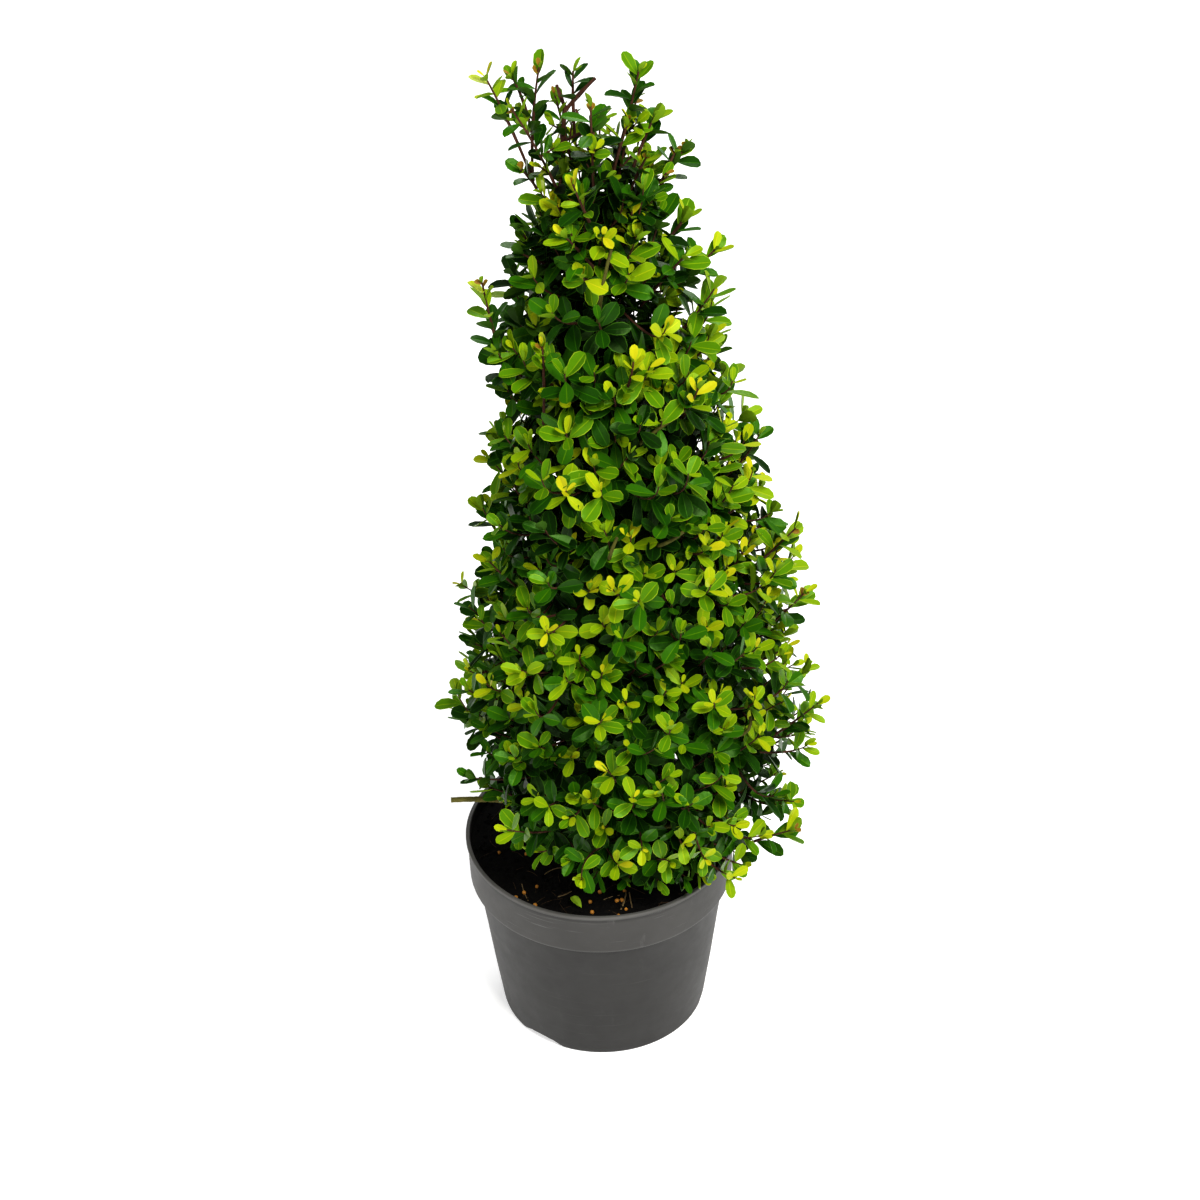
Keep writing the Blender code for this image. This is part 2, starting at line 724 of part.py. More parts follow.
def main():
    clear_scene()
    plastic = material("grey_plastic", (0.105, 0.100, 0.096), 0.55)
    peat = material("peat", (0.010, 0.007, 0.005), 0.95)
    bark = material("bark", (0.120, 0.085, 0.045), 0.8)
    leaves = material("holly_leaf", (0.060, 0.190, 0.012), 0.38)
    pot(plastic)
    soil(peat)
    main_stem(bark)
    add_object("pruned_branch", *tube(stub_path(), (STUB_RADIUS, STUB_TIP_RADIUS), 8, 6), bark)
    for mass, leaves_at in tier_masses():
        start, bend, end = bough_ends(mass, leaves_at)
        shape = tube((start, bend, end), (BOUGH_RADIUS, BOUGH_TIP_RADIUS), 6, 3)
        add_object(f"bough_{mass.name}", *shape, bark)
        heading = (end - bend).normalized()
        foliage(mass, end + heading * CLEARANCE, heading, leaves)
    for mass, tip in leader_masses():
        leader(mass, tip, leader_root(mass), leaves)


if __name__ == "__main__":
    main()
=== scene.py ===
"""A potted Japanese holly grown as a loose cone: pot, soil, limbs, twigs and leaves round the packed frame.

Units are metres and +Z is up. The growth rule is the frame's own: the crown is described round its
leaning axis by azimuth, radius and level, where level = height - LIFT * radius. Each mass of foliage is a
cell between two azimuths and two levels. Its bough runs to the cell, its stem goes on from the bough,
branchlets leave the stem, shoots leave the branchlets, and leaves sit on the shoots by the golden angle.
"""

import math

import bpy
import numpy as np
from mathutils import Matrix, Vector


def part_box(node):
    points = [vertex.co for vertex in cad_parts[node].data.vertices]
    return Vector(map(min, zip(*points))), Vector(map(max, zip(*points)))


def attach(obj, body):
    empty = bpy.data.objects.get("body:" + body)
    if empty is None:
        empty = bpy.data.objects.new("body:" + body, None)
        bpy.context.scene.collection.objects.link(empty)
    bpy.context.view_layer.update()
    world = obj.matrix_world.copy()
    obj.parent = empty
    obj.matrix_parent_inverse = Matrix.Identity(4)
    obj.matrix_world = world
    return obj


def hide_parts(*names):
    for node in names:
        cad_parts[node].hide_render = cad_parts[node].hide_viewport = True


bl_info = {
    "name": "Potted Holly Cone",
    "version": (1, 0, 0),
    "blender": (4, 5, 0),
    "location": "View3D > Sidebar > Holly",
    "description": "Builds a potted Japanese holly cone: pot, soil, bark, twigs, leaves and a studio",
    "category": "Add Mesh",
}

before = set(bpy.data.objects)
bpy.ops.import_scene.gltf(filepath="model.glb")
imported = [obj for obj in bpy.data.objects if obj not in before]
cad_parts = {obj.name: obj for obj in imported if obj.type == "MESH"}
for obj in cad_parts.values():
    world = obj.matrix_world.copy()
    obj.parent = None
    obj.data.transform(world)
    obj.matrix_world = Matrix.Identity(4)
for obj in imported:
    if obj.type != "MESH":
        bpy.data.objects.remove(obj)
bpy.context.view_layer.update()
POT_LOW, POT_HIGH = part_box("pot")
SOIL_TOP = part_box("soil")[1].z
STEM_LOW, STEM_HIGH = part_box("main_stem")

UP = np.array([0.0, 0.0, 1.0])
GOLDEN_ANGLE = math.radians(137.508)
CLEARANCE = 0.0004  # gap between solids that meet

# Main stem
GROUND = STEM_LOW.z
STEM_TOP = STEM_HIGH.z
STEM_RADIUS, STEM_TIP_RADIUS = 0.0064, 0.0022
FLARE_RADIUS, FLARE_HEIGHT = 0.0105, 0.014
STEM_FOOT = np.array([0.006, 0.004])
STEM_TOP_AT = np.array([0.003, 0.0])
STEM_BULGE = 0.012

# Crown
LIFT = 0.75
SKIRT_RADIUS, SKIRT_HEIGHT, SKIRT_ROUNDING = 0.119, 0.250, 0.120
SHOULDER_RADIUS, SHOULDER_HEIGHT = 0.042, 0.665
TAPER_POWER = 1.4
LEAN_LOW, LEAN_HIGH = np.array([0.023, 0.002]), np.array([0.007, 0.0])
LEAN_FROM, LEAN_TO = 0.40, 0.60
FLOOR_LEVEL, FLOOR_TILT = 0.106, 0.024
FLOOR_LOWEST_AZIMUTH = math.radians(335.0)
TOP_LEVEL, TOP_TWIGS_TO, LEADER_ROOT = 0.530, 0.650, 0.562
FORK_STEP, LOWEST_FORK = 0.006, 0.168
UNDERSIDE_LOWEST = 0.160
CORE_DEPTH = 0.035

# Tiers: name, lowest and highest level, masses, first azimuth in degrees, inner radius, height where
# the boughs leave the stem, rows and columns of shoots in a mass
TIERS = (
    ("skirt", FLOOR_LEVEL, 0.205, 5, 36.0, 0.036, 0.156, 3, 6),
    ("lower", 0.205, 0.305, 5, 0.0, 0.032, 0.200, 4, 6),
    ("middle", 0.305, 0.410, 4, 45.0, 0.026, 0.285, 4, 7),
    ("upper", 0.410, 0.530, 3, 90.0, 0.019, 0.380, 5, 7),
)
# Leaders: azimuth in degrees, radius and height of the tip
LEADERS = (
    (186.0, 0.050, 0.717),
    (139.0, 0.031, 0.712),
    (84.0, 0.034, 0.690),
    (30.0, 0.030, 0.712),
    (350.0, 0.043, 0.672),
    (262.0, 0.016, 0.722),
)
TOP_GRID = (4, 2)  # rows and columns of shoots in a top mass
LEADER_SHORTER = 0.006  # room for the upright leaves at a leader's tip
SPURS, SPUR_LENGTHS = 7, (0.010, 0.018)  # short side shoots of each leader
# Outgrown shoots: azimuth in degrees, height where each leaves the cone, length, and lean from the
# vertical in degrees
STRAYS = (
    (352.0, 0.560, 0.022, 30.0),
    (350.0, 0.385, 0.026, 38.0),
    (346.0, 0.340, 0.026, 36.0),
    (345.0, 0.255, 0.024, 42.0),
    (330.0, 0.180, 0.020, 60.0),
    (205.0, 0.385, 0.018, 32.0),
)
STRAY_REACH = 0.010  # the frame's large leaves reach this much further than its twigs

# How steeply the shoots of a tier climb, in degrees
TIER_CLIMBS = {"skirt": (46, 76), "lower": (46, 76), "middle": (52, 80), "upper": (60, 86)}
# The skirt's shoots climb less towards its bottom: degrees there, how many more at its top, and chance
SKIRT_CLIMB, SKIRT_CLIMB_MORE, SKIRT_CLIMB_CHANCE = 8, 58, 14
# On the right the cone's face lies deeper behind its longest shoots: half width of that stretch round
# the crown, its middle level, half its height, and how deep
RAGGED_TURN, RAGGED_LEVEL, RAGGED_SPAN, RAGGED_DEPTH = math.radians(42), 0.43, 0.17, 0.011

# Limbs
BOUGH_RADIUS, BOUGH_TIP_RADIUS, LEADER_RADIUS = 0.0032, 0.0021, 0.0017
STEM_SIDES = 24
STUB_FROM = 0.150
STUB_RADIUS, STUB_TIP_RADIUS = 0.0030, 0.0021
STUB_TIP = np.array([-0.104, -0.004, 0.181])
STUB_BEND = np.array([-0.045, 0.002, 0.179])

# Pot
RIM_RADIUS = (POT_HIGH.x - POT_LOW.x) / 2
POT_HEIGHT = POT_HIGH.z
FOOT_RADIUS = 0.0742
COLLAR_BOTTOM, COLLAR_STEP = 0.1155, 0.0058
LIP, COLLAR_WALL = 0.0011, 0.0024  # how far the lip stands out of the collar, and the collar's thickness
WALL, FLOOR_TOP, FLOOR_RECESS = 0.0015, 0.008, 0.004
BOSS_RADIUS, FOOT_RING_WIDTH = 0.014, 0.0135
ARCHES, FIRST_ARCH = 3, math.radians(232.0)
ARCH_HALF_WIDTH, ARCH_HEIGHT = 0.0185, 0.0055
DRAIN_HOLES, DRAIN_HOLE_RADIUS, DRAIN_RING_RADIUS = 6, 0.0045, 0.038
POT_SHARP_DEG = 40

# Leaf tints: name, linear colour and roughness. The upper side's come first, from the old leaf in painted
# shade to the young tip, then bronze, then the edge's painted highlight and the underside, each of dark and
# bright leaves
TINTS = (
    ("shade", (0.0022, 0.0105, 0.0010), 0.45),
    ("deep", (0.0050, 0.0230, 0.0018), 0.36),
    ("dark", (0.0110, 0.0540, 0.0022), 0.31),
    ("mid", (0.0300, 0.1200, 0.0030), 0.31),
    ("fresh", (0.0900, 0.2150, 0.0034), 0.34),
    ("lime", (0.2150, 0.3450, 0.0045), 0.38),
    ("gold", (0.3700, 0.4500, 0.0065), 0.42),
    ("yellow", (0.5200, 0.5000, 0.0110), 0.44),
    ("bronze", (0.2500, 0.1350, 0.0180), 0.50),
    ("edge_dark", (0.0420, 0.1200, 0.0080), 0.42),
    ("edge_bright", (0.2900, 0.4200, 0.0200), 0.42),
    ("under_dark", (0.0380, 0.095, 0.0080), 0.60),
    ("under_bright", (0.1650, 0.280, 0.0110), 0.60),
)
TINT = {name: place for place, (name, _, _) in enumerate(TINTS)}
# Where a leaf's value of age and painted light passes from one tint to the next, from shade to yellow
AGE_STEPS = (-0.62, -0.24, 0.08, 0.34, 0.56, 0.77, 1.02)


# ---------------------------------------------------------------- arrays and meshes


def unit(vectors):
    """Vectors scaled to length 1."""
    return vectors / np.maximum(np.linalg.norm(vectors, axis=-1, keepdims=True), 1e-9)


def ring_direction(azimuth):
    """The level direction that points out at an azimuth."""
    azimuth = np.asarray(azimuth, float)
    return np.stack([np.cos(azimuth), np.sin(azimuth), np.zeros_like(azimuth)], axis=-1)


def flat_places(radius, turn):
    """Level places (x, y) at a radius and a turn."""
    return np.stack([radius * np.cos(turn), radius * np.sin(turn)], axis=-1)


def turns(count):
    """Angles that divide a full turn evenly."""
    return 2 * np.pi * np.arange(count) / count


def blend(a, b, share):
    """From a to b by a share."""
    return a + (b - a) * share


def bezier(paths, t):
    """Points of quadratic curves. A path is (start, bend, end): start(1-t)^2 + 2 bend t(1-t) + end t^2."""
    t = np.asarray(t)[..., None]
    start, bend, end = paths[..., 0, :], paths[..., 1, :], paths[..., 2, :]
    return start * (1 - t) ** 2 + bend * (2 * t * (1 - t)) + end * t**2


def bezier_heading(paths, t):
    """Direction of travel along quadratic curves."""
    t = np.asarray(t)[..., None]
    start, bend, end = paths[..., 0, :], paths[..., 1, :], paths[..., 2, :]
    return unit((bend - start) * (1 - t) + (end - bend) * t)


def ripple(points, wavelength, seed, waves=14):
    """A smooth field from about -1 to 1: the mean of sine waves about a wavelength long, whose directions
    and phases are drawn from a seed."""
    rng = np.random.default_rng(seed)
    direction = unit(rng.normal(size=(waves, points.shape[-1])))
    pitch = 2 * np.pi / (wavelength * rng.uniform(0.6, 1.7, waves))
    phase = rng.uniform(0, 2 * np.pi, waves)
    return np.sin((points @ direction.T) * pitch + phase).mean(axis=-1) * 2.2


def make_piece(name, verts, faces, finishes, replaces=(), sharp_deg=60.0, tints=None):
    """A mesh object from arrays, riding on the plant. A face is four corners, or three and a -1."""
    corners = faces[faces >= 0]
    counts = (faces >= 0).sum(axis=1)
    mesh = bpy.data.meshes.new(name)
    mesh.vertices.add(len(verts))
    mesh.vertices.foreach_set("co", np.ascontiguousarray(verts, np.float32).ravel())
    mesh.loops.add(len(corners))
    mesh.loops.foreach_set("vertex_index", np.ascontiguousarray(corners, np.int32))
    mesh.polygons.add(len(faces))
    starts = np.concatenate([[0], np.cumsum(counts)[:-1]])
    mesh.polygons.foreach_set("loop_start", np.ascontiguousarray(starts, np.int32))
    if tints is not None:
        mesh.polygons.foreach_set("material_index", np.ascontiguousarray(tints, np.int32))
    mesh.update(calc_edges=True)
    for material in finishes:
        mesh.materials.append(material)
    mesh.shade_smooth()
    mesh.set_sharp_from_angle(angle=math.radians(sharp_deg))
    piece = bpy.data.objects.new(name, mesh)
    bpy.context.scene.collection.objects.link(piece)
    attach(piece, "root")
    if replaces:
        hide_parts(*replaces)
    return piece


def ring_faces(rows, columns):
    """Faces of rows of rings: quads between the rings, and fans from two last points to the end rings."""
    ring = np.arange(columns)
    after = (ring + 1) % columns
    low = np.arange(rows - 1)[:, None] * columns
    quads = np.stack([low + ring, low + after, low + columns + after, low + columns + ring], axis=-1)
    last = (rows - 1) * columns
    pole, none = np.full(columns, rows * columns), np.full(columns, -1)
    start = np.stack([pole, after, ring, none], axis=-1)
    end = np.stack([pole + 1, last + ring, last + after, none], axis=-1)
    return np.concatenate([quads.reshape(-1, 4), start, end])


def repeated(template_faces, copies, size):
    """The faces of many copies of a shape that has so many vertices."""
    shift = (np.arange(copies) * size)[:, None, None]
    return np.where(template_faces[None] >= 0, template_faces[None] + shift, -1).reshape(-1, 4)


def tubes(paths, radii, rings, sides, swell=None):
    """Closed tubes along quadratic curves: a circle of radius r(t) carried along each path, square to it.

    paths is (n, 3, 3) and radii (n, 2). swell(points, t, turn) may scale the radius point by point.
    """
    count = len(paths)
    t = np.linspace(0, 1, rings)
    centre = bezier(paths[:, None], np.broadcast_to(t, (count, rings)))
    heading = bezier_heading(paths[:, None], np.broadcast_to(t, (count, rings)))
    chord = unit(paths[:, 2] - paths[:, 0])
    steep = np.abs(chord[:, 2:]) > 0.9
    side = unit(np.cross(chord, np.where(steep, [[1.0, 0, 0]], [[0, 0, 1.0]])))[:, None]
    side = unit(side - heading * (heading * side).sum(-1, keepdims=True))
    across = np.cross(heading, side)
    turn = turns(sides)
    out = side[:, :, None] * np.cos(turn)[:, None] + across[:, :, None] * np.sin(turn)[:, None]
    radius = blend(radii[:, :1], radii[:, 1:], t)[:, :, None, None] * np.ones((1, 1, sides, 1))
    if swell is not None:
        radius = radius * swell(centre[:, :, None] + out * radius, t[None, :, None], turn)[..., None]
    verts = (centre[:, :, None] + out * radius).reshape(count, -1, 3)
    verts = np.concatenate([verts, centre[:, :1], centre[:, -1:]], axis=1)
    return verts.reshape(-1, 3), repeated(ring_faces(rings, sides), count, verts.shape[1])


def turned(profile, sides, reshape=None):
    """A surface of revolution: a profile of (radius, height) from axis to axis, turned about Z.

    reshape(radius, height, turn) may move the points of the grid. The two poles are single points.
    """
    turn = turns(sides)
    radius = np.repeat(profile[1:-1, :1], sides, axis=1)
    height = np.repeat(profile[1:-1, 1:], sides, axis=1)
    if reshape is not None:
        radius, height = reshape(radius, height, turn[None])
    rings = np.concatenate([flat_places(radius, turn), height[..., None]], axis=-1)
    verts = np.concatenate([rings.reshape(-1, 3), [[0, 0, profile[0, 1]], [0, 0, profile[-1, 1]]]])
    return verts, ring_faces(len(profile) - 2, sides)


def drilled(piece, radius, places, low, high):
    """Cuts upright round holes through a piece with cutters of a lathed profile, and removes the cutters."""
    verts, faces = turned(np.array([(0, low), (radius, low), (radius, high), (0, high)]), 24)
    cutters = bpy.data.meshes.new("drain_cutters")
    faces = repeated(faces, len(places), len(verts))
    rows = [[corner for corner in face if corner >= 0] for face in faces.tolist()]
    cutters.from_pydata((places[:, None] + verts).reshape(-1, 3).tolist(), [], rows)
    cutter = bpy.data.objects.new("drain_cutters", cutters)
    bpy.context.scene.collection.objects.link(cutter)
    cut = piece.modifiers.new("drain_holes", "BOOLEAN")
    cut.operation, cut.solver, cut.object = "DIFFERENCE", "EXACT", cutter
    whole = piece.data
    piece.data = bpy.data.meshes.new_from_object(piece.evaluated_get(bpy.context.evaluated_depsgraph_get()))
    piece.modifiers.clear()
    bpy.data.objects.remove(cutter)
    bpy.data.meshes.remove(cutters)
    bpy.data.meshes.remove(whole)
    piece.data.name = piece.name


def rounded(corners, steps=4):
    """A profile whose corners (radius, height, rounding) are replaced by arcs: a quadratic curve from a
    rounding's length before the corner to the same after it."""
    points = np.array([corner[:2] for corner in corners], float)
    found = [points[:1]]
    for i in range(1, len(corners) - 1):
        reach = corners[i][2]
        if reach == 0:
            found.append(points[i : i + 1])
            continue
        before = points[i] + unit(points[i - 1] - points[i]) * reach
        after = points[i] + unit(points[i + 1] - points[i]) * reach
        path = np.stack([before, points[i], after])
        found.append(bezier(path, np.linspace(0, 1, steps + 1)))
    found.append(points[-1:])
    return np.concatenate(found)


def lumps(places, sizes, stretch, rng, rows=3, columns=6):
    """Small closed lumps: a sphere's grid of turn and tilt, its radius uneven point by point."""
    count = len(places)
    tilt = np.pi * np.arange(1, rows + 1) / (rows + 1)
    turn = turns(columns)
    around, up = np.sin(tilt)[:, None], np.cos(tilt)[:, None] * np.ones(columns)
    ball = np.stack([around * np.cos(turn), around * np.sin(turn), up], axis=-1).reshape(-1, 3)
    ball = np.concatenate([ball, [[0, 0, 1.0], [0, 0, -1.0]]])
    uneven = rng.uniform(1 - stretch, 1 + stretch, (count, len(ball), 1))
    scale = sizes[:, None, None] * rng.uniform(1 - stretch, 1 + stretch, (count, 1, 3))
    spin = unit(rng.normal(size=(count, 3)))
    side = unit(np.cross(spin, [0.3, 0.5, 0.8]))
    basis = np.stack([side, np.cross(spin, side), spin], axis=1)
    verts = np.einsum("nvi,nij->nvj", ball[None] * uneven * scale, basis) + places[:, None]
    return verts.reshape(-1, 3), repeated(ring_faces(rows, columns)[:, ::-1], count, len(ball))


# ---------------------------------------------------------------- the crown's own measures


def crown_axis(height):
    """Where the crown's leaning axis passes at a height."""
    share = np.clip((height - LEAN_FROM) / (LEAN_TO - LEAN_FROM), 0, 1)
    share = share * share * (3 - 2 * share)
    return blend(LEAN_LOW, LEAN_HIGH, np.asarray(share)[..., None])


def crown_radius(height, azimuth):
    """The clipped cone: round below the skirt, tapering above it, with low waves round it."""
    drop = np.clip((SKIRT_HEIGHT - height) / SKIRT_ROUNDING, 0, 1)
    rise = np.clip((height - SKIRT_HEIGHT) / (SHOULDER_HEIGHT - SKIRT_HEIGHT), 0, 1)
    radius = np.where(
        height < SKIRT_HEIGHT,
        SKIRT_RADIUS * (1 - drop**4) ** 0.25,
        SKIRT_RADIUS + (SHOULDER_RADIUS - SKIRT_RADIUS) * rise**TAPER_POWER,
    )
    waves = 0.035 * np.sin(3 * azimuth + 0.6) + 0.03 * np.sin(5 * azimuth + 31 * height)
    return radius * (1 + waves)


def crown_point(azimuth, radius, level):
    """World point of an azimuth, a radius and a level."""
    height = level + LIFT * radius
    point = ring_direction(azimuth) * np.asarray(radius)[..., None]
    point[..., :2] += crown_axis(height)
    point[..., 2] = height
    return point


def crown_azimuth(point):
    """Azimuth of a world point about the crown's axis."""
    offset = point[..., :2] - crown_axis(point[..., 2])
    return np.arctan2(offset[..., 1], offset[..., 0])


def surface_radius(azimuth, level):
    """The radius at which the surface of a level leaves the clipped cone, by halving."""
    near = np.zeros(np.broadcast(azimuth, level).shape)
    far = near + 2 * SKIRT_RADIUS
    for _ in range(18):
        middle = (near + far) / 2
        inside = middle < crown_radius(level + LIFT * middle, azimuth)
        near = np.where(inside, middle, near)
        far = np.where(inside, far, middle)
    return near


def stem_point(height):
    """The main stem's centre at a height: it bows to the right and comes back."""
    t = (np.asarray(height, float) - GROUND) / (STEM_TOP - GROUND)
    place = blend(STEM_FOOT, STEM_TOP_AT, t[..., None])
    bow = np.stack([STEM_BULGE * np.sin(np.pi * t), 0.002 * np.sin(2 * np.pi * t)], axis=-1)
    return np.concatenate([place + bow, np.asarray(height, float)[..., None]], axis=-1)


def flare_share(height):
    """How much of the root flare is left at a height."""
    return np.exp(-(height - GROUND) / FLARE_HEIGHT * 1.8)


def stem_radius(height):
    """The main stem's radius at a height: tapering, and wider at the root flare."""
    t = np.clip((height - GROUND) / (STEM_TOP - GROUND), 0, 1)
    flare = (FLARE_RADIUS - STEM_RADIUS) * flare_share(height)
    return STEM_RADIUS + (STEM_TIP_RADIUS - STEM_RADIUS) * t**0.85 + flare


def stub_path():
    """The pruned branch low on the left."""
    gap = np.array([stem_radius(STUB_FROM) + STUB_RADIUS + CLEARANCE, 0.0, 0.0])
    return np.stack([stem_point(STUB_FROM) - gap, STUB_BEND, STUB_TIP])


class Cell:
    """One mass of foliage: its sides, its levels and where its bough leaves the stem."""

    def __init__(self, tier, sides, levels, inner, leaves_at, grid):
        self.tier = tier
        self.first, self.last = sides
        self.low, self.high = levels
        self.inner, self.leaves_at = inner, leaves_at
        self.grid = grid
        self.middle = (self.first + self.last) / 2

    def bottom(self, azimuth):
        """The lowest level, which tilts with the underside of the crown."""
        tilt = FLOOR_TILT * np.cos(azimuth - FLOOR_LOWEST_AZIMUTH)
        return self.low - (tilt if self.low <= FLOOR_LEVEL else 0 * tilt)

    def level(self, azimuth, share):
        return blend(self.bottom(azimuth), self.high, share)

    def bough(self):
        """The limb from the stem to the cell."""
        level = max(float(self.level(self.middle, 0.2)), LOWEST_FORK - LIFT * self.inner)
        end = crown_point(self.middle, self.inner, level)
        gap = stem_radius(self.leaves_at) + BOUGH_RADIUS + 2 * CLEARANCE
        start = stem_point(self.leaves_at) + ring_direction(self.middle) * gap
        bend = blend(start, end, 0.75)
        bend[2] = start[2] + 0.3 * (end[2] - start[2])
        return np.stack([start, bend, end])

    def stem(self):
        """The stem inside the cell, which goes on from its bough."""
        bough = self.bough()
        heading = unit(bough[2] - bough[1])
        level = self.level(self.middle, 0.55)
        radius = surface_radius(self.middle, level) - CORE_DEPTH - 0.004
        end = crown_point(self.middle, max(float(radius), self.inner + 0.012), level)
        root = bough[2] - heading * 0.001
        return np.stack([root, root + heading * (0.5 * np.linalg.norm(end - root)), end])


def tier_cells():
    """The masses of the four tiers, in the order of the frame's nodes."""
    cells = []
    for name, low, high, count, first_deg, inner, leaves_at, rows, columns in TIERS:
        span = 2 * math.pi / count
        for i in range(count):
            first = math.radians(first_deg) + span * i
            at = leaves_at + FORK_STEP * (i % 3)
            cells.append(Cell(name, (first, first + span), (low, high), inner, at, (rows, columns)))
    return cells


def leader_cells():
    """(cell, path of its leader) of each top mass, sides half way to the leaders next to it."""
    order = sorted(LEADERS)
    azimuths = [math.radians(leader[0]) for leader in order]
    cells = []
    for i, (_, radius, height) in enumerate(order):
        azimuth = azimuths[i]
        before = azimuths[i - 1] - (2 * math.pi if i == 0 else 0)
        after = azimuths[(i + 1) % len(order)] + (2 * math.pi if i == len(order) - 1 else 0)
        sides = ((azimuth + before) / 2, (azimuth + after) / 2)
        cell = Cell("top", sides, (TOP_LEVEL, TOP_TWIGS_TO), 0.0, LEADER_ROOT, TOP_GRID)
        gap = stem_radius(LEADER_ROOT) + LEADER_RADIUS + 2 * CLEARANCE
        root = stem_point(LEADER_ROOT) + ring_direction(cell.middle) * gap
        tip = crown_point(azimuth, radius, height - LIFT * radius)
        bend = root + UP * (0.45 * np.linalg.norm(tip - root))
        cells.append((cell, np.stack([root, bend, tip])))
    return cells


# ---------------------------------------------------------------- growth


class Growth:
    """Curves gathered cell by cell, with the values that each shoot's leaves take.

    counts is the number of leaves, bright how young and lit they are, and bronze the chance that the
    youngest are bronze. spread, splay and share scale the leaves' distance, opening and length.
    """

    LEAF_VALUES = ("tiers", "counts", "bright", "spread", "bronze", "splay", "share")
    ARRAYS = ("branchlets", "branchlet_radii", "shoots", "shoot_radii", *LEAF_VALUES)

    def __init__(self):
        for name in self.ARRAYS:
            setattr(self, name, [])

    def add_branchlets(self, paths, radii):
        self.branchlets.append(paths)
        self.branchlet_radii.append(np.broadcast_to(radii, (len(paths), 2)))

    def add_shoots(self, paths, radii, tier, counts, bright, spread=1.0, bronze=0.0, splay=1.0, share=1.0):
        self.shoots.append(paths)
        self.shoot_radii.append(np.broadcast_to(radii, (len(paths), 2)))
        values = (tier, counts, bright, spread, bronze, splay, share)
        for name, value in zip(self.LEAF_VALUES, values):
            getattr(self, name).append(np.broadcast_to(value, len(paths)))

    def closed(self):
        """The same growth with each list joined into one array."""
        for name in self.ARRAYS:
            setattr(self, name, np.concatenate(getattr(self, name)))
        return self


# Radii at the foot and at the tip of each kind of twig
RADII = {
    "stem": (BOUGH_TIP_RADIUS, 0.0014),
    "branchlet": (0.0016, 0.0010),
    "shoot": (0.00085, 0.00050),
    "underside": (0.0008, 0.0005),
    "core": (0.0011, 0.0006),
    "stray": (0.0012, 0.0006),
    "leader": (LEADER_RADIUS, 0.0007),
    "spur": (0.0007, 0.0005),
    "top": (0.0009, 0.0005),
    "named": (0.0012, 0.0007),
    "old_stem": (0.0016, 0.0011),
}

# How young and lit a shoot is: in the middle of the crown, how much more per metre to the right and to the
# front, which is painted light from the side the light falls on, the spread by chance, and the most
BRIGHT, BRIGHT_RIGHT, BRIGHT_FRONT, BRIGHT_CHANCE, BRIGHTEST = 0.71, 0.8, 0.7, 0.27, 1.15
# The brightest that a tier's shoots may be: few leaves of the skirt are yellow
YOUNGEST = {"skirt": 0.86, "lower": 0.98, "middle": 1.15, "upper": 1.02}
TOP_GLOW, TOP_GLOW_FROM = 2.0, 0.605  # painted light on the lit top: how much brighter the top's shoots get per metre, above this level
UNDERSIDE_SHADE = 0.35  # how much darker the shoots of the crown's underside are

# The ends of a mass's branchlets: rows and columns, jitter, depth behind the cone's face, and the least
# distance out from where the mass begins
KNOT_GRID, KNOT_JITTER, KNOT_DEPTHS = (2, 3), 0.2, (0.034, 0.046)
LEAST_REACH = 0.012
UNDERSIDE_GRID, UNDERSIDE_REACH = (2, 5), (0.45, 0.86)


def brightness(tips, rng):
    """How young and lit shoots are: more so by chance, and to the right and to the front as painted light."""
    lit = BRIGHT + BRIGHT_RIGHT * (tips[:, 0] - 0.01) - BRIGHT_FRONT * tips[:, 1]
    return np.minimum(lit + rng.normal(0, BRIGHT_CHANCE, len(tips)), BRIGHTEST)


def shoots_to(tips, starts, climb_deg, rng, sideways=0.45):
    """Curves from starts to tips that arrive climbing outwards at an angle."""
    climb = np.radians(climb_deg)
    azimuth = crown_azimuth(tips) + rng.normal(0, sideways, len(tips))
    heading = ring_direction(azimuth) * np.cos(climb)[:, None] + UP * np.sin(climb)[:, None]
    length = np.linalg.norm(tips - starts, axis=1, keepdims=True)
    return np.stack([starts, tips - heading * (0.45 * length), tips], axis=1)


def points_on(path, t):
    """Points of one quadratic curve."""
    return bezier(np.broadcast_to(path, (len(t), 3, 3)), t)


def grid_places(rows, columns, rng, jitter=0.36):
    """Jittered places of a grid, as shares up and across, every second row shifted half a step."""
    row, column = np.divmod(np.arange(rows * columns), columns)
    shift = 0.25 * np.where(row % 2, 1, -1)
    across = (column + 0.5 + shift + rng.uniform(-jitter, jitter, len(row))) / columns
    up = (row + 0.5 + rng.uniform(-jitter, jitter, len(row))) / rows
    return up, np.clip(across, 0.02, 0.98)


def grow_branchlets(growth, cell, rng):
    """Branchlets from a cell's stem to the inside of its face: their paths."""
    stem = cell.stem()
    growth.add_branchlets(stem[None], RADII["stem"])
    up, across = grid_places(*KNOT_GRID, rng, KNOT_JITTER)
    azimuth = blend(cell.first, cell.last, across)
    level = cell.level(azimuth, up)
    radius = surface_radius(azimuth, level) - rng.uniform(*KNOT_DEPTHS, len(up))
    knots = crown_point(azimuth, np.maximum(radius, cell.inner + LEAST_REACH), level)
    starts = points_on(stem, rng.uniform(0.25, 0.95, len(up)))
    branchlets = shoots_to(knots, starts, rng.uniform(25, 55, len(up)), rng, 0.2)
    growth.add_branchlets(branchlets, RADII["branchlet"])
    return branchlets


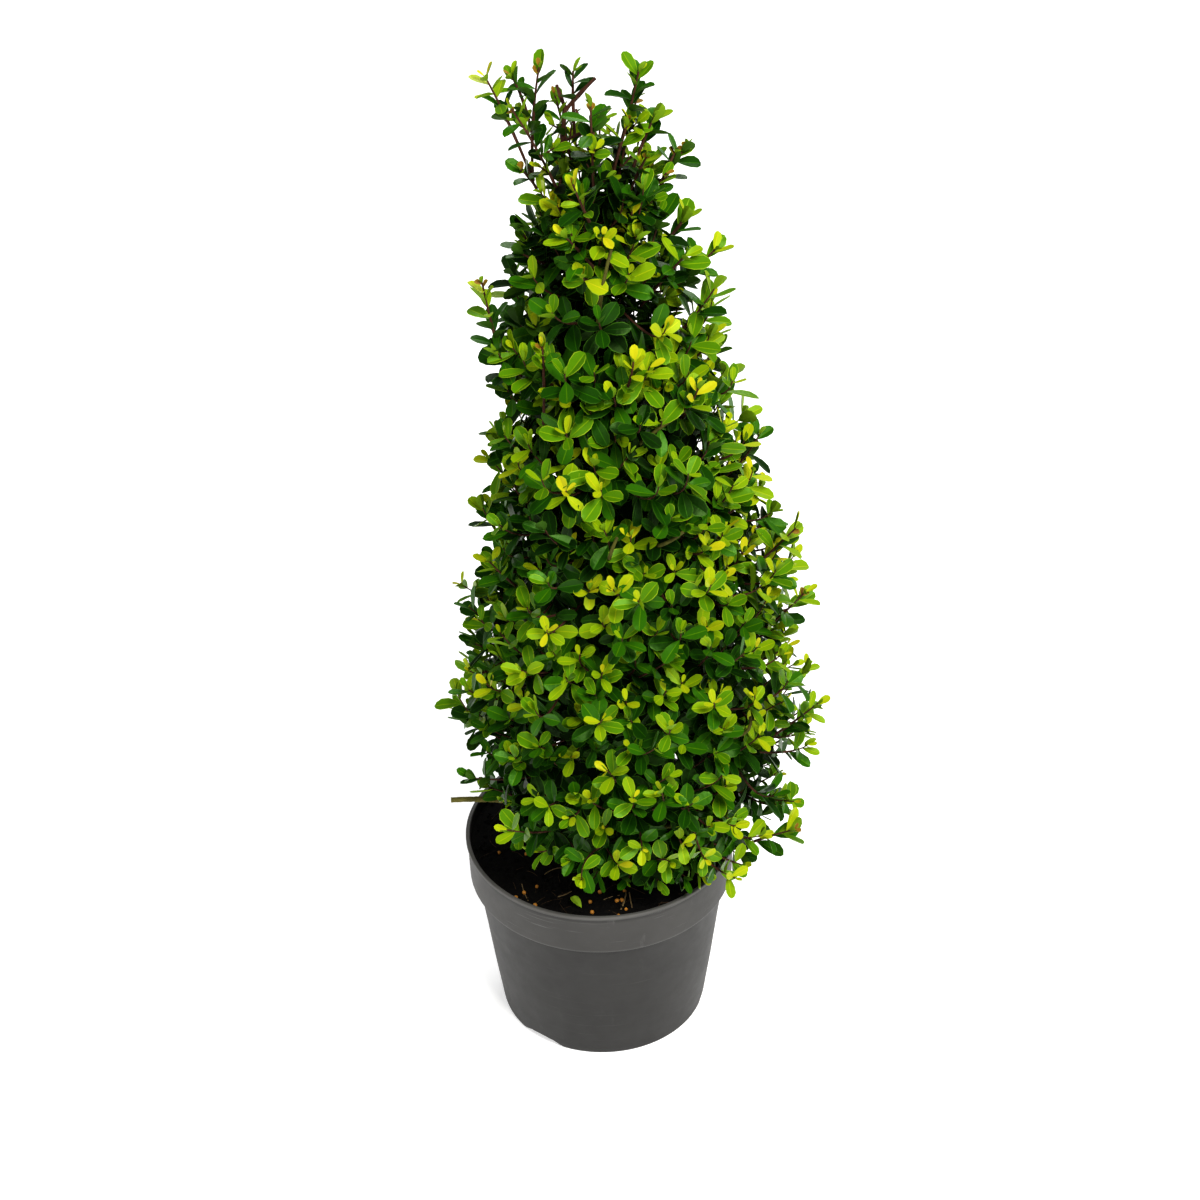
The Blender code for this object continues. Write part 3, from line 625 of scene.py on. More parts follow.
def grow_cell(growth, cell, settings, rng):
    """A mass's branchlets, and shoots from them to the cone's face."""
    branchlets = grow_branchlets(growth, cell, rng)
    up, across = grid_places(*cell.grid, rng)
    azimuth = blend(cell.first, cell.last, across)
    level = cell.level(azimuth, up)
    depth = rng.uniform(settings.tip_depth_least, settings.tip_depth_most, len(up))
    level_off = (level - RAGGED_LEVEL) / RAGGED_SPAN
    ragged = np.exp(-((azimuth / RAGGED_TURN) ** 2)) * np.exp(-(level_off**2))
    depth = depth + RAGGED_DEPTH * ragged
    outgrown = rng.random(len(up)) < settings.outgrown * (1 + ragged)
    depth = np.where(outgrown, -rng.uniform(0.001, 0.008, len(up)), depth)
    tips = crown_point(azimuth, surface_radius(azimuth, level) - depth, level)
    climb = rng.uniform(*TIER_CLIMBS[cell.tier], len(up))
    if cell.tier == "skirt":
        chance = rng.uniform(-SKIRT_CLIMB_CHANCE, SKIRT_CLIMB_CHANCE, len(up))
        climb = SKIRT_CLIMB + SKIRT_CLIMB_MORE * up + chance
    nearest = np.linalg.norm(tips[:, None] - branchlets[None, :, 2], axis=2).argmin(axis=1)
    starts = bezier(branchlets[nearest], rng.uniform(0.55, 0.98, len(up)))
    paths = shoots_to(tips, starts, climb, rng)
    counts = rng.integers(settings.leaves_least, settings.leaves_most + 1, len(up))
    bright = np.minimum(brightness(tips, rng), YOUNGEST[cell.tier])
    growth.add_shoots(paths, RADII["shoot"], cell.tier, counts, bright)
    if cell.tier == "skirt":
        grow_underside(growth, cell, branchlets, rng)


def grow_underside(growth, cell, branchlets, rng):
    """Flat and drooping shoots that close the crown's underside."""
    up, across = grid_places(*UNDERSIDE_GRID, rng)
    azimuth = blend(cell.first, cell.last, across)
    level = cell.bottom(azimuth) + rng.uniform(0.0, 0.012, len(up))
    tips = crown_point(azimuth, surface_radius(azimuth, level) * blend(*UNDERSIDE_REACH, up), level)
    tips[:, 2] = np.maximum(tips[:, 2], UNDERSIDE_LOWEST + rng.uniform(0, 0.010, len(up)))
    low = branchlets[rng.integers(0, KNOT_GRID[1], len(up))]
    starts = bezier(low, rng.uniform(0.1, 0.6, len(up)))
    paths = shoots_to(tips, starts, rng.uniform(-15, 20, len(up)), rng)
    counts = rng.integers(7, 11, len(up))
    growth.add_shoots(paths, RADII["underside"], "skirt", counts, brightness(tips, rng) - UNDERSIDE_SHADE)


def grow_strays(growth, rng):
    """Shoots that have outgrown the clipped cone."""
    for azimuth_deg, height, length, lean_deg in STRAYS:
        azimuth, lean = math.radians(azimuth_deg), math.radians(lean_deg)
        out = ring_direction(azimuth)
        radius = float(crown_radius(height, azimuth)) - 0.012
        knee = crown_point(azimuth, radius, height - LIFT * radius)
        tip = knee + (out * math.sin(lean) + UP * math.cos(lean)) * (length + STRAY_REACH)
        path = np.stack([knee - out * 0.030 - UP * 0.030, knee - UP * 0.002, tip])[None]
        count, bright = int(8 + length / 0.0065), 0.90 + rng.normal(0, 0.08)
        growth.add_shoots(path, RADII["stray"], "upper", count, bright, 1.1, 0.4, 0.8)


# Named shoots that show singly: start, bend and tip in millimetres, number of leaves, brightness, the
# chance that the smallest leaves are bronze, and the leaves' length as a share of the usual
NAMED_SHOOTS = {
    "left_horn": ((-31, 8, 655), (-42, 2, 694), (-57, -3, 730), 12, 0.98, 0.0, 0.82),
    "left_horn_inner": ((-31, 8, 655), (-32, 6, 691), (-25, 6, 731), 13, 0.72, 1.0, 0.82),
    "left_horn_side": ((-30, 7, 683), (-34, 8, 710), (-42, 10, 724), 8, 0.70, 0.5, 0.70),
    "left_spur": ((-29, 6, 651), (-33, 0, 663), (-38, -4, 669), 7, 0.55, 1.0, 0.80),
    "middle_back": ((-5, 18, 677), (-6, 18, 705), (-5, 18, 722), 8, 0.42, 0.0, 0.82),
    "right_horn": ((14, 8, 650), (27, 8, 691), (34, 8, 726), 10, 0.72, 0.0, 0.82),
    "right_yellow": ((17, 2, 658), (21, -4, 682), (28, -6, 702), 8, 1.20, 0.4, 0.82),
    "right_back": ((30, 6, 664), (37, 6, 684), (43, 6, 697), 8, 0.72, 0.3, 0.82),
    "right_spur": ((27, 0, 649), (34, -4, 669), (38, -6, 677), 7, 0.88, 0.6, 0.80),
    "right_bud": ((33, 4, 628), (46, 0, 655), (62, -2, 682), 9, 0.50, 1.0, 0.80),
    "right_bud_side": ((48, 0, 659), (52, -2, 672), (55, -2, 677), 5, 0.60, 1.0, 0.70),
    "right_shoulder": ((50, 0, 617), (57, -2, 626), (62, -4, 637), 8, 0.80, 0.0, 0.95),
    "right_shoulder_low": ((51, 0, 581), (69, -4, 600), (79, -6, 613), 11, 0.85, 0.0, 0.95),
    "front_high": ((16, -20, 610), (2, -30, 645), (-7, -34, 674), 10, 1.25, 0.2, 0.80),
    "front_yellow": ((26, -14, 625), (28, -20, 639), (28, -22, 649), 7, 1.30, 0.6, 0.88),
    "front_left": ((11, -24, 603), (-2, -38, 630), (-13, -42, 644), 10, 0.98, 0.0, 0.88),
    "front_right": ((33, -10, 577), (49, -20, 604), (60, -24, 619), 11, 0.80, 0.0, 0.95),
    "left_lump": ((-18, 0, 619), (-28, -4, 626), (-36, -8, 632), 11, 0.20, 0.0, 0.95),
    "left_lump_low": ((-18, 0, 600), (-30, -4, 606), (-39, -8, 614), 11, 0.15, 0.0, 0.95),
    "left_lump_back": ((-16, 6, 590), (-28, 4, 600), (-38, 2, 622), 11, 0.15, 0.0, 0.95),
    "left_outlier": ((-46, -10, 500), (-58, -14, 555), (-64, -14, 598), 20, 1.24, 1.0, 0.80),
    "left_outlier_side": ((-29, -36, 509), (-27, -46, 548), (-28, -48, 573), 15, 1.15, 0.6, 0.82),
    "face_high": ((14, -40, 515), (26, -58, 548), (27, -62, 568), 10, 1.15, 0.3, 0.95),
    "face_right": ((53, -30, 500), (62, -44, 522), (67, -48, 540), 10, 1.20, 0.2, 0.95),
}
# Old shoots that leave the stem between the boughs: each tier's number, levels and reach
CORE_SHOOTS = (
    ("lower", 34, (0.205, 0.305), (0.022, 0.052)),
    ("middle", 28, (0.308, 0.410), (0.020, 0.044)),
    ("upper", 26, (0.413, 0.530), (0.016, 0.034)),
    ("top", 30, (0.533, 0.650), (0.012, 0.026)),
)
# Shoots where the skirt meets the tier above it
SEAM_SHOOTS, SEAM_LEVEL = 18, 0.203
# Old stems that show bare between the leaves: height where each leaves the main stem, and its bend and
# end in millimetres
FACE_STEMS = (
    (0.540, (2, -62, 593), (15, -42, 634)),
    (0.450, (20, -83, 517), (60, -46, 524)),
    (0.390, (38, -100, 451), (56, -76, 452)),
    (0.385, (4, -101, 438), (15, -80, 452)),
    (0.240, (106, -86, 277), (101, -62, 294)),
)
# Cut twigs with no leaves in the open top: start, bend and tip, and radii at both ends, in millimetres
CUT_TWIGS = (
    ((-13, 14, 630), (-14, 16, 678), (-10, 16, 700), 2.0, 1.7),
    ((-10, 16, 698), (-4, 16, 706), (8, 16, 718), 1.6, 1.2),
    ((-10, 16, 698), (-13, 14, 707), (-15, 14, 715), 1.4, 1.1),
    ((-10, 12, 680), (0, 4, 689), (13, -2, 698), 1.1, 0.8),
    ((6, 10, 662), (2, 12, 685), (-4, 14, 699), 1.2, 0.9),
)


def grow_leader(growth, leader, rng):
    """One leader of the open top with its spurs."""
    shoot = leader[None] - UP * [[[0.0], [0.003], [LEADER_SHORTER]]]
    growth.add_shoots(shoot, RADII["leader"], "top", 18, 0.68, spread=0.9, bronze=0.6, splay=0.80, share=0.76)
    turn = GOLDEN_ANGLE * np.arange(SPURS) + rng.uniform(0, 2 * np.pi)
    starts = points_on(shoot, np.linspace(0.40, 0.86, SPURS))
    rise = UP * rng.uniform(0.7, 1.4, (SPURS, 1))
    tips = starts + unit(ring_direction(turn) + rise) * rng.uniform(*SPUR_LENGTHS, (SPURS, 1))
    paths = np.stack([starts, (starts + tips) / 2, tips], axis=1)
    bright = rng.normal(0.75, 0.2, SPURS)
    growth.add_shoots(paths, RADII["spur"], "top", 7, bright, spread=0.7, bronze=0.3, splay=0.85, share=0.68)


def grow_top(growth, rng):
    """Leaders, the shoots round their feet, and the single shoots and cut twigs among them."""
    for cell, leader in leader_cells():
        grow_leader(growth, leader, rng)
        up, across = grid_places(*cell.grid, rng)
        azimuth = blend(cell.first, cell.last, across)
        level = cell.level(azimuth, up)
        depth = rng.uniform(0.004, 0.018, len(up))
        tips = crown_point(azimuth, surface_radius(azimuth, level) - depth, level)
        starts = points_on(leader, rng.uniform(0.02, 0.45, len(up)))
        paths = shoots_to(tips, starts, rng.uniform(60, 86, len(up)), rng)
        bright = brightness(tips, rng) + TOP_GLOW * (level - TOP_GLOW_FROM)
        growth.add_shoots(paths, RADII["top"], "top", rng.integers(9, 12, len(up)), bright, splay=0.85)
    for *path, count, bright, bronze, share in NAMED_SHOOTS.values():
        path = np.array([path], float) / 1000
        growth.add_shoots(path, RADII["named"], "top", count, bright, share, bronze, 0.70, share)
    for *path, thick, thin in CUT_TWIGS:
        growth.add_shoots(np.array([path], float) / 1000, (thick / 1000, thin / 1000), "top", 0, 0.0)


def grow_seam(growth, rng):
    """Shoots round the crown where the skirt and the tier above it meet."""
    places = np.arange(SEAM_SHOOTS) + rng.uniform(-0.25, 0.25, SEAM_SHOOTS)
    azimuth = 2 * np.pi * places / SEAM_SHOOTS
    level = SEAM_LEVEL + rng.uniform(-0.006, 0.006, SEAM_SHOOTS)
    radius = surface_radius(azimuth, level)
    tips = crown_point(azimuth, radius - rng.uniform(0.002, 0.014, SEAM_SHOOTS), level)
    starts = crown_point(azimuth, radius - 0.045, level - 0.012)
    paths = shoots_to(tips, starts, rng.uniform(30, 60, SEAM_SHOOTS), rng)
    growth.add_shoots(paths, RADII["shoot"], "lower", 12, brightness(tips, rng))


def grow_core(growth, rng):
    """Old shoots round the stem, in a rising spiral, with dark leaves: partly old green, partly painted
    shade.
    """
    for tier, count, levels, reach in CORE_SHOOTS:
        turn = GOLDEN_ANGLE * np.arange(count)
        level = np.linspace(*levels, count)
        tips = stem_point(level) + ring_direction(turn) * rng.uniform(*reach, (count, 1))
        paths = shoots_to(tips, stem_point(level - 0.030), rng.uniform(35, 65, count), rng)
        growth.add_shoots(paths, RADII["core"], tier, 11, rng.normal(0.12, 0.15, count), spread=1.1)


def face_stems():
    """The old stems that show at the face, from the main stem outwards."""
    paths = []
    for height, bend, end in FACE_STEMS:
        paths.append([stem_point(height), np.array(bend) / 1000, np.array(end) / 1000])
    return np.array(paths)


def grow(settings):
    """The whole plant's branchlets and shoots, the same for every piece that shows them."""
    growth = Growth()
    for i, cell in enumerate(tier_cells()):
        grow_cell(growth, cell, settings, np.random.default_rng(settings.seed * 1000 + i))
    rng = np.random.default_rng(settings.seed * 1000 + 500)
    for grow_part in (grow_top, grow_strays, grow_core, grow_seam):
        grow_part(growth, rng)
    return growth.closed()


# ---------------------------------------------------------------- leaves

# A leaf's outline: shares of the length, and the half width there as a share of the greatest
LEAF_STATIONS = np.array([0.07, 0.27, 0.51, 0.77, 0.935])
LEAF_WIDTHS = np.array([0.14, 0.60, 0.93, 0.96, 0.56])
EDGE_FROM, RIB = 0.90, 0.055  # shares of a leaf's half width where its edge strip with a painted highlight begins and its midrib ends
LEAF_COLUMNS = np.array([-1.0, -EDGE_FROM, -RIB, RIB, EDGE_FROM, 1.0])
TIER_LEAF_SHARES = {"skirt": 0.90, "lower": 0.90, "middle": 0.95, "upper": 1.04, "top": 1.04}
LEAF_THICKNESS = 0.00045
BLADE, EDGE, MIDRIB, UNDERSIDE = range(4)  # the kinds of a leaf's faces
KINDS_ACROSS = (EDGE, BLADE, MIDRIB, BLADE, EDGE)
# Leaves are counted from the shoot's tip, which is leaf 0. How far the first stands from the tip, and over
# how many leaves their distance, opening and length come up to the usual
TIP_GAP, SPREADS_OVER, OPENS_OVER, GROWS_OVER = 0.0004, 3.0, 1.9, 1.45
BUD_LENGTH, BRONZE_LENGTH = 0.42, 0.30  # shares of a grown leaf's length
AGE_OF_BRIGHT, AGE_PER_LEAF = 1.15, 0.12
# The youngest leaves are smaller: ages where that begins and how much later it is full, and the shares
YOUNG_FROM, YOUNG_SPAN, OLD_SHARE, YOUNG_LOSS = 0.40, 0.60, 1.06, 0.24
# Leaves keep this far off the pot and the soil, and hang outside the pot to this height
POT_CLEARANCE, SOIL_CLEARANCE, LIP_DEPTH, LEAVES_HANG_TO = 0.0015, 0.0008, 0.0065, 0.110


def leaf_faces():
    """Faces of one leaf and the kind of each."""
    rows, strips = len(LEAF_STATIONS), len(LEAF_COLUMNS) - 1
    in_row = strips + 2
    tip = in_row * rows + 1

    def corner(row, column):
        return 1 + in_row * row + column

    def strip(left, right):
        faces = [(0, corner(0, right), corner(0, left), -1)]
        for row in range(rows - 1):
            places = ((row, left), (row, right), (row + 1, right), (row + 1, left))
            faces.append(tuple(corner(*place) for place in places))
        return faces + [(tip, corner(rows - 1, left), corner(rows - 1, right), -1)]

    faces, kinds = [], []
    for column in range(strips):
        faces += strip(column, column + 1)
        kinds += [KINDS_ACROSS[column]] * (rows + 1)
    for left, right in ((strips, strips + 1), (strips + 1, 0)):
        faces += strip(left, right)
        kinds += [UNDERSIDE] * (rows + 1)
    return np.array(faces), np.array(kinds)


def leaf_surface(root, along, face, length, width, fold, curl):
    """Leaves as a surface of two shares: s along the midrib and u across it.

    A point lies s L along, u w(s) W/2 across, and off the plane by the fold, fold |u| w(s) W/2, and the
    curl, curl L s^2. The outermost strip turns down a little, and the underside's midrib hangs below.
    """
    across = np.cross(along, face)
    s = LEAF_STATIONS[None, :, None]
    w = LEAF_WIDTHS[None, :, None]
    u = LEAF_COLUMNS[None, None, :]
    long, half, folded, curled = (values[:, None, None] for values in (length, width / 2, fold, curl))
    side = u * w * half
    lift = folded * np.minimum(np.abs(u), EDGE_FROM) * w * half + curled * long * s**2
    grid = np.stack(np.broadcast_arrays(s * long, side, lift), axis=-1)
    under = grid[:, :, 2:4].mean(axis=2, keepdims=True) - [0, 0, LEAF_THICKNESS]
    grid = np.concatenate([grid, under], axis=2).reshape(len(root), -1, 3)
    ends = np.zeros((2, len(root), 1, 3))
    ends[1, :, 0, 0] = length
    ends[1, :, 0, 2] = curl * length
    local = np.concatenate([ends[0], grid, ends[1]], axis=1)
    basis = np.stack([along, across, face], axis=1)
    return np.einsum("nvi,nij->nvj", local, basis) + root[:, None]


def leaf_frames(paths, t, turn, splay, to_light, rng):
    """Root, direction and upper side of leaves on curves, splayed from the twig and turned to the light."""
    root = bezier(paths, t)
    axis = bezier_heading(paths, t)
    side = unit(np.cross(axis, np.array([0.31, 0.17, 0.93])))
    across = np.cross(side, axis)
    out = side * np.cos(turn)[:, None] + across * np.sin(turn)[:, None]
    splay = splay[:, None]
    along = axis * np.cos(splay) + out * np.sin(splay)
    face = axis * np.sin(splay) - out * np.cos(splay)
    azimuth = crown_azimuth(paths[:, 2])
    light = unit(ring_direction(azimuth) * 0.55 + UP * 0.85)
    face = unit(face * (1 - to_light) + light * to_light + rng.normal(0, 0.24, face.shape))
    along = unit(along - face * (along * face).sum(-1, keepdims=True))
    return root, along, face


def clear_of_pot(verts):
    """Which leaves keep off the soil and the pot's rim."""
    radius = np.linalg.norm(verts[..., :2], axis=-1)
    height = verts[..., 2]
    above = height > POT_HEIGHT + POT_CLEARANCE
    outside = (radius > RIM_RADIUS + POT_CLEARANCE) & (height > LEAVES_HANG_TO)
    inside = (radius < RIM_RADIUS - LIP_DEPTH) & (height > SOIL_TOP + SOIL_CLEARANCE)
    return (above | outside | inside).all(axis=1)


def shoot_leaves(growth, settings):
    """Every shoot's leaves: (verts, tint of each leaf, tier of each leaf). k counts a shoot's leaves."""
    rng = np.random.default_rng(settings.seed + 77)
    counts = growth.counts.astype(int)
    owner = np.repeat(np.arange(len(counts)), counts)
    k = np.arange(len(owner)) - np.repeat(np.cumsum(counts) - counts, counts)
    paths = growth.shoots[owner]
    length = np.linalg.norm(growth.shoots[:, 2] - growth.shoots[:, 0], axis=1) * 1.06
    back = (TIP_GAP + settings.leaf_spacing * k * k / (k + SPREADS_OVER)) * growth.spread[owner]
    t = 1 - np.minimum(back / length[owner], 0.93)
    turn = rng.uniform(0, 2 * np.pi, len(counts))[owner] + GOLDEN_ANGLE * k + rng.normal(0, 0.2, len(k))
    opening = settings.leaf_opening * (1 - np.exp(-(k + 0.4) / OPENS_OVER)) * growth.splay[owner]
    splay = opening + np.radians(rng.normal(0, 8, len(k)))
    root, along, face = leaf_frames(paths, t, turn, splay, settings.to_light, rng)
    grown = blend(BUD_LENGTH, 1, 1 - np.exp(-(k + 0.1) / GROWS_OVER))
    shares = rng.uniform(0.94, 1.06, len(counts)) * growth.share
    shares = shares * [TIER_LEAF_SHARES[tier] for tier in growth.tiers]
    size = settings.leaf_length * grown * rng.uniform(0.84, 1.16, len(k)) * shares[owner]
    width = size * rng.uniform(0.43, 0.56, len(k))
    fold = rng.uniform(0.15, 0.55, len(k))
    curl = np.where(k < 4, rng.uniform(-0.02, 0.22, len(k)), rng.uniform(-0.24, 0.08, len(k)))
    # Leaves further from the tip are older and lie deeper in the crown; their darkening tints are partly
    # painted shade
    age_and_light = growth.bright[owner] * AGE_OF_BRIGHT - AGE_PER_LEAF * k + rng.normal(0, 0.09, len(k))
    youth = OLD_SHARE - YOUNG_LOSS * np.clip((age_and_light - YOUNG_FROM) / YOUNG_SPAN, 0, 1)
    size, width = size * youth, width * youth
    tint = np.digitize(age_and_light, AGE_STEPS)
    bronze = (k < 3) & (rng.random(len(k)) < growth.bronze[owner])
    tint = np.where(bronze, TINT["bronze"], tint)
    size = np.where(bronze, settings.leaf_length * BRONZE_LENGTH, size)
    verts = leaf_surface(root, along, face, size, width, fold, curl)
    return verts, tint, growth.tiers[owner]


def inner_leaves(growth, settings):
    """Old leaves on the branchlets, which close the crown's inside, in dark tints that are partly painted
    shade: (verts, tint of each leaf).
    """
    rng = np.random.default_rng(settings.seed + 78)
    per = settings.inner_leaves
    owner = np.repeat(np.arange(len(growth.branchlets)), per)
    paths = growth.branchlets[owner]
    t = rng.uniform(0.15, 1.0, len(owner))
    turn = rng.uniform(0, 2 * np.pi, len(owner))
    splay = np.radians(rng.uniform(55, 85, len(owner)))
    root, along, face = leaf_frames(paths, t, turn, splay, 0.4, rng)
    size = settings.leaf_length * rng.uniform(0.95, 1.25, len(owner))
    fold, curl = rng.uniform(0, 0.3, len(owner)), rng.uniform(-0.2, 0.05, len(owner))
    verts = leaf_surface(root, along, face, size, size * 0.58, fold, curl)
    return verts, rng.integers(TINT["shade"], TINT["mid"], len(owner))


# ---------------------------------------------------------------- finishes


def finish(name, colour, roughness, specular=0.5):
    """A new material with a plain Principled shader, its tree and its shader."""
    made = bpy.data.materials.new(name)
    made.use_nodes = True
    shader = made.node_tree.nodes["Principled BSDF"]
    values = {"Base Color": (*colour, 1.0), "Roughness": roughness, "Specular IOR Level": specular}
    for name_of_input, value in values.items():
        shader.inputs[name_of_input].default_value = value
    return made, made.node_tree, shader


def node(tree, kind, values, links):
    """A new shader node, with values and links on its named inputs."""
    made = tree.nodes.new(f"ShaderNode{kind}")
    for name, value in values.items():
        made.inputs[name].default_value = value
    for name, socket in links.items():
        tree.links.new(socket, made.inputs[name])
    return made


def pattern(tree, scale, detail=4.0, stretch=(1.0, 1.0, 1.0), roughness=0.55):
    """A noise pattern on object coordinates, stretched along the axes."""
    place = node(tree, "TexCoord", {}, {}).outputs["Object"]
    mapped = node(tree, "Mapping", {"Scale": stretch}, {"Vector": place}).outputs["Vector"]
    values = {"Scale": scale, "Detail": detail, "Roughness": roughness}
    return node(tree, "TexNoise", values, {"Vector": mapped}).outputs["Fac"]


def ramp(tree, value, stops):
    """A colour ramp over a value, from (place, colour) stops. A colour may be one number for a grey."""
    made = node(tree, "ValToRGB", {}, {"Fac": value})
    elements = made.color_ramp.elements
    while len(elements) < len(stops):
        elements.new(0.5)
    for element, (place, colour) in zip(elements, stops):
        element.position = place
        element.color = (*np.broadcast_to(colour, 3), 1.0)
    return made.outputs["Color"]


def mixed(tree, a, b, mode="MIX", factor=None):
    """Two colours mixed by a factor, or in full where there is none."""
    made = tree.nodes.new("ShaderNodeMix")
    made.data_type, made.blend_type = "RGBA", mode
    made.inputs["Factor"].default_value = 1.0
    for name, socket in (("Factor", factor), ("A", a), ("B", b)):
        if socket is not None:
            tree.links.new(socket, made.inputs[name])
    return made.outputs["Result"]


def bump(tree, shader, height, strength, distance):
    """Relief in the finish from a height pattern."""
    made = node(tree, "Bump", {"Strength": strength, "Distance": distance}, {"Height": height})
    tree.links.new(made.outputs["Normal"], shader.inputs["Normal"])


# Painted light and shade on the pot by share of its height: the wall painted darker than the collar as in
# shade,
# a painted shadow under the collar, painted highlights on its lower edge and the lip, and painted shade under
# the lip's bead
POT_PAINTED_LIGHT_BANDS = (
    (0.0, 0.52), (0.60, 0.57), (0.730, 0.56), (0.757, 0.36), (0.768, 0.50), (0.777, 1.70),
    (0.790, 1.20), (0.955, 1.26), (0.973, 0.75), (0.983, 1.3), (0.991, 2.60),
)


def plastic_finish(settings):
    """Recycled grey pot plastic: cloudy, dusty at the collar, finely scratched, with painted shade on the
    wall and under the collar and painted highlights on the collar's edge and the lip.
    """
    made, tree, shader = finish("grey_pot_plastic", settings.colour, 0.55, 0.41)
    base = Vector(settings.colour)
    cloud = ramp(tree, pattern(tree, 22.0, 5.0), ((0.30, base * 0.86), (0.70, base * 1.14)))
    place = node(tree, "TexCoord", {}, {}).outputs["Object"]
    height = node(tree, "SeparateXYZ", {}, {"Vector": place}).outputs["Z"]
    share = node(tree, "MapRange", {"From Max": POT_HEIGHT}, {"Value": height}).outputs["Result"]
    # The plastic's colour times the bands of painted light and shade by height
    colour = mixed(tree, cloud, ramp(tree, share, POT_PAINTED_LIGHT_BANDS), "MULTIPLY")
    scuff = ramp(tree, pattern(tree, 60.0, 8.0, (1.0, 1.0, 0.35), 0.7), ((0.58, 0.0), (0.74, 0.8)))
    scratch = ramp(tree, pattern(tree, 34.0, 3.0, (0.5, 0.5, 26.0), 0.6), ((0.645, 0.0), (0.69, 0.8)))
    collar = ramp(tree, share, ((0.76, 0.14), (0.80, 0.85)))
    marks = mixed(tree, mixed(tree, scuff, scratch, "LIGHTEN"), collar, "MULTIPLY")
    dust = tree.nodes.new("ShaderNodeRGB").outputs[0]
    dust.default_value = (*settings.dust_colour, 1.0)
    tree.links.new(mixed(tree, colour, dust, factor=marks), shader.inputs["Base Color"])
    rough = node(tree, "MapRange", {"To Min": 0.46, "To Max": 0.66}, {"Value": pattern(tree, 90.0, 6.0)})
    tree.links.new(rough.outputs["Result"], shader.inputs["Roughness"])
    bump(tree, shader, pattern(tree, 1300.0, 2.0), 0.10, 0.0003)
    return made


def peat_finish(settings):
    """Damp peat: near black with brown grains."""
    made, tree, shader = finish("damp_peat", settings.colour, 0.92, 0.25)
    base = Vector(settings.colour)
    grains = ramp(
        tree,
        pattern(tree, 420.0, 8.0, roughness=0.75),
        ((0.38, base * 0.35), (0.56, base), (0.72, base * 3.2 + Vector((0.010, 0.005, 0.0)))),
    )
    tree.links.new(grains, shader.inputs["Base Color"])
    bump(tree, shader, pattern(tree, 700.0, 6.0, roughness=0.8), 0.8, 0.0015)
    return made


def bark_finish(name, low, high, scale, stretch):
    """Bark: two tones along the grain, with fine relief."""
    made, tree, shader = finish(name, high, 0.78, 0.3)
    tone = ramp(tree, pattern(tree, scale, 6.0, stretch, 0.7), ((0.34, low), (0.66, high)))
    tree.links.new(tone, shader.inputs["Base Color"])
    bump(tree, shader, pattern(tree, scale * 1.6, 5.0, stretch, 0.7), 0.5, 0.0006)
    return made


def plain_finish(name, low, high, scale, roughness, relief=0.0004):
    """A small part's finish: two near tones and a little relief."""
    made, tree, shader = finish(name, high, roughness, 0.4)
    tone = ramp(tree, pattern(tree, scale, 4.0), ((0.35, low), (0.65, high)))
    tree.links.new(tone, shader.inputs["Base Color"])
    bump(tree, shader, pattern(tree, scale * 2.0, 3.0), 0.3, relief)
    return made


def leaf_finishes(settings):
    """One finish for each tint, in the tints' order. They are plain, because tints are dealt out by spray."""
    made = []
    for name, colour, roughness in TINTS:
        material, tree, shader = finish(f"holly_leaf_{name}", colour, roughness)
        bump(tree, shader, pattern(tree, 360.0, 3.0), 0.30, 0.0006)
        shader.inputs["Specular Tint"].default_value = (*settings.gloss_tone, 1.0)
        shader.inputs["IOR"].default_value = 1.35
        made.append(material)
    return made


# ---------------------------------------------------------------- settings


def real_value(name, description, default, **more):
    return bpy.props.FloatProperty(name=name, description=description, default=default, **more)


def length_value(name, description, default):
    return real_value(name, description, default, unit="LENGTH")


def whole_number(name, description, default, **more):
    return bpy.props.IntProperty(name=name, description=description, default=default, **more)


def colour_value(name, description, default):
    return bpy.props.FloatVectorProperty(name=name, description=description, default=default, subtype="COLOR")


class HollyPotSettings(bpy.types.PropertyGroup):
    """Sizes and colours of the nursery pot."""

    foot_radius: length_value("Foot radius", "Radius of the wall at the foot", FOOT_RADIUS)
    collar_height: length_value("Collar bottom", "Height of the step under the collar", COLLAR_BOTTOM)
    sides: whole_number("Sides", "Facets round the pot", 192, min=48)
    colour: colour_value("Plastic", "Colour of the plastic", (0.0385, 0.0372, 0.0352))
    dust_colour: colour_value("Dust", "Colour of scuffs and dust", (0.1250, 0.1220, 0.1180))


class HollySoilSettings(bpy.types.PropertyGroup):
    """Colour and litter of the potting soil."""

    colour: colour_value("Peat", "Colour of the damp peat", (0.0036, 0.0027, 0.0021))
    bead_colour: colour_value("Feed beads", "Colour of the slow feed beads", (0.62, 0.27, 0.04))
    crumbs: whole_number("Crumbs", "Loose lumps on the soil", 900, min=0)
    fibres: whole_number("Fibres", "Peat fibres on the soil", 110, min=0)
    seed: whole_number("Seed", "Seed of the litter's places", 5)


class HollyBarkSettings(bpy.types.PropertyGroup):
    """Colours and relief of the limbs."""

    relief: real_value("Relief", "Height of the ridges as a share of the radius", 0.10, subtype="FACTOR")
    old_colour: colour_value("Old bark", "Colour of stem and boughs", (0.135, 0.120, 0.030))
    branchlet_colour: colour_value("Branchlet bark", "Colour of last year's wood", (0.085, 0.083, 0.009))
    young_colour: colour_value("Young bark", "Colour of this year's shoots", (0.085, 0.032, 0.018))


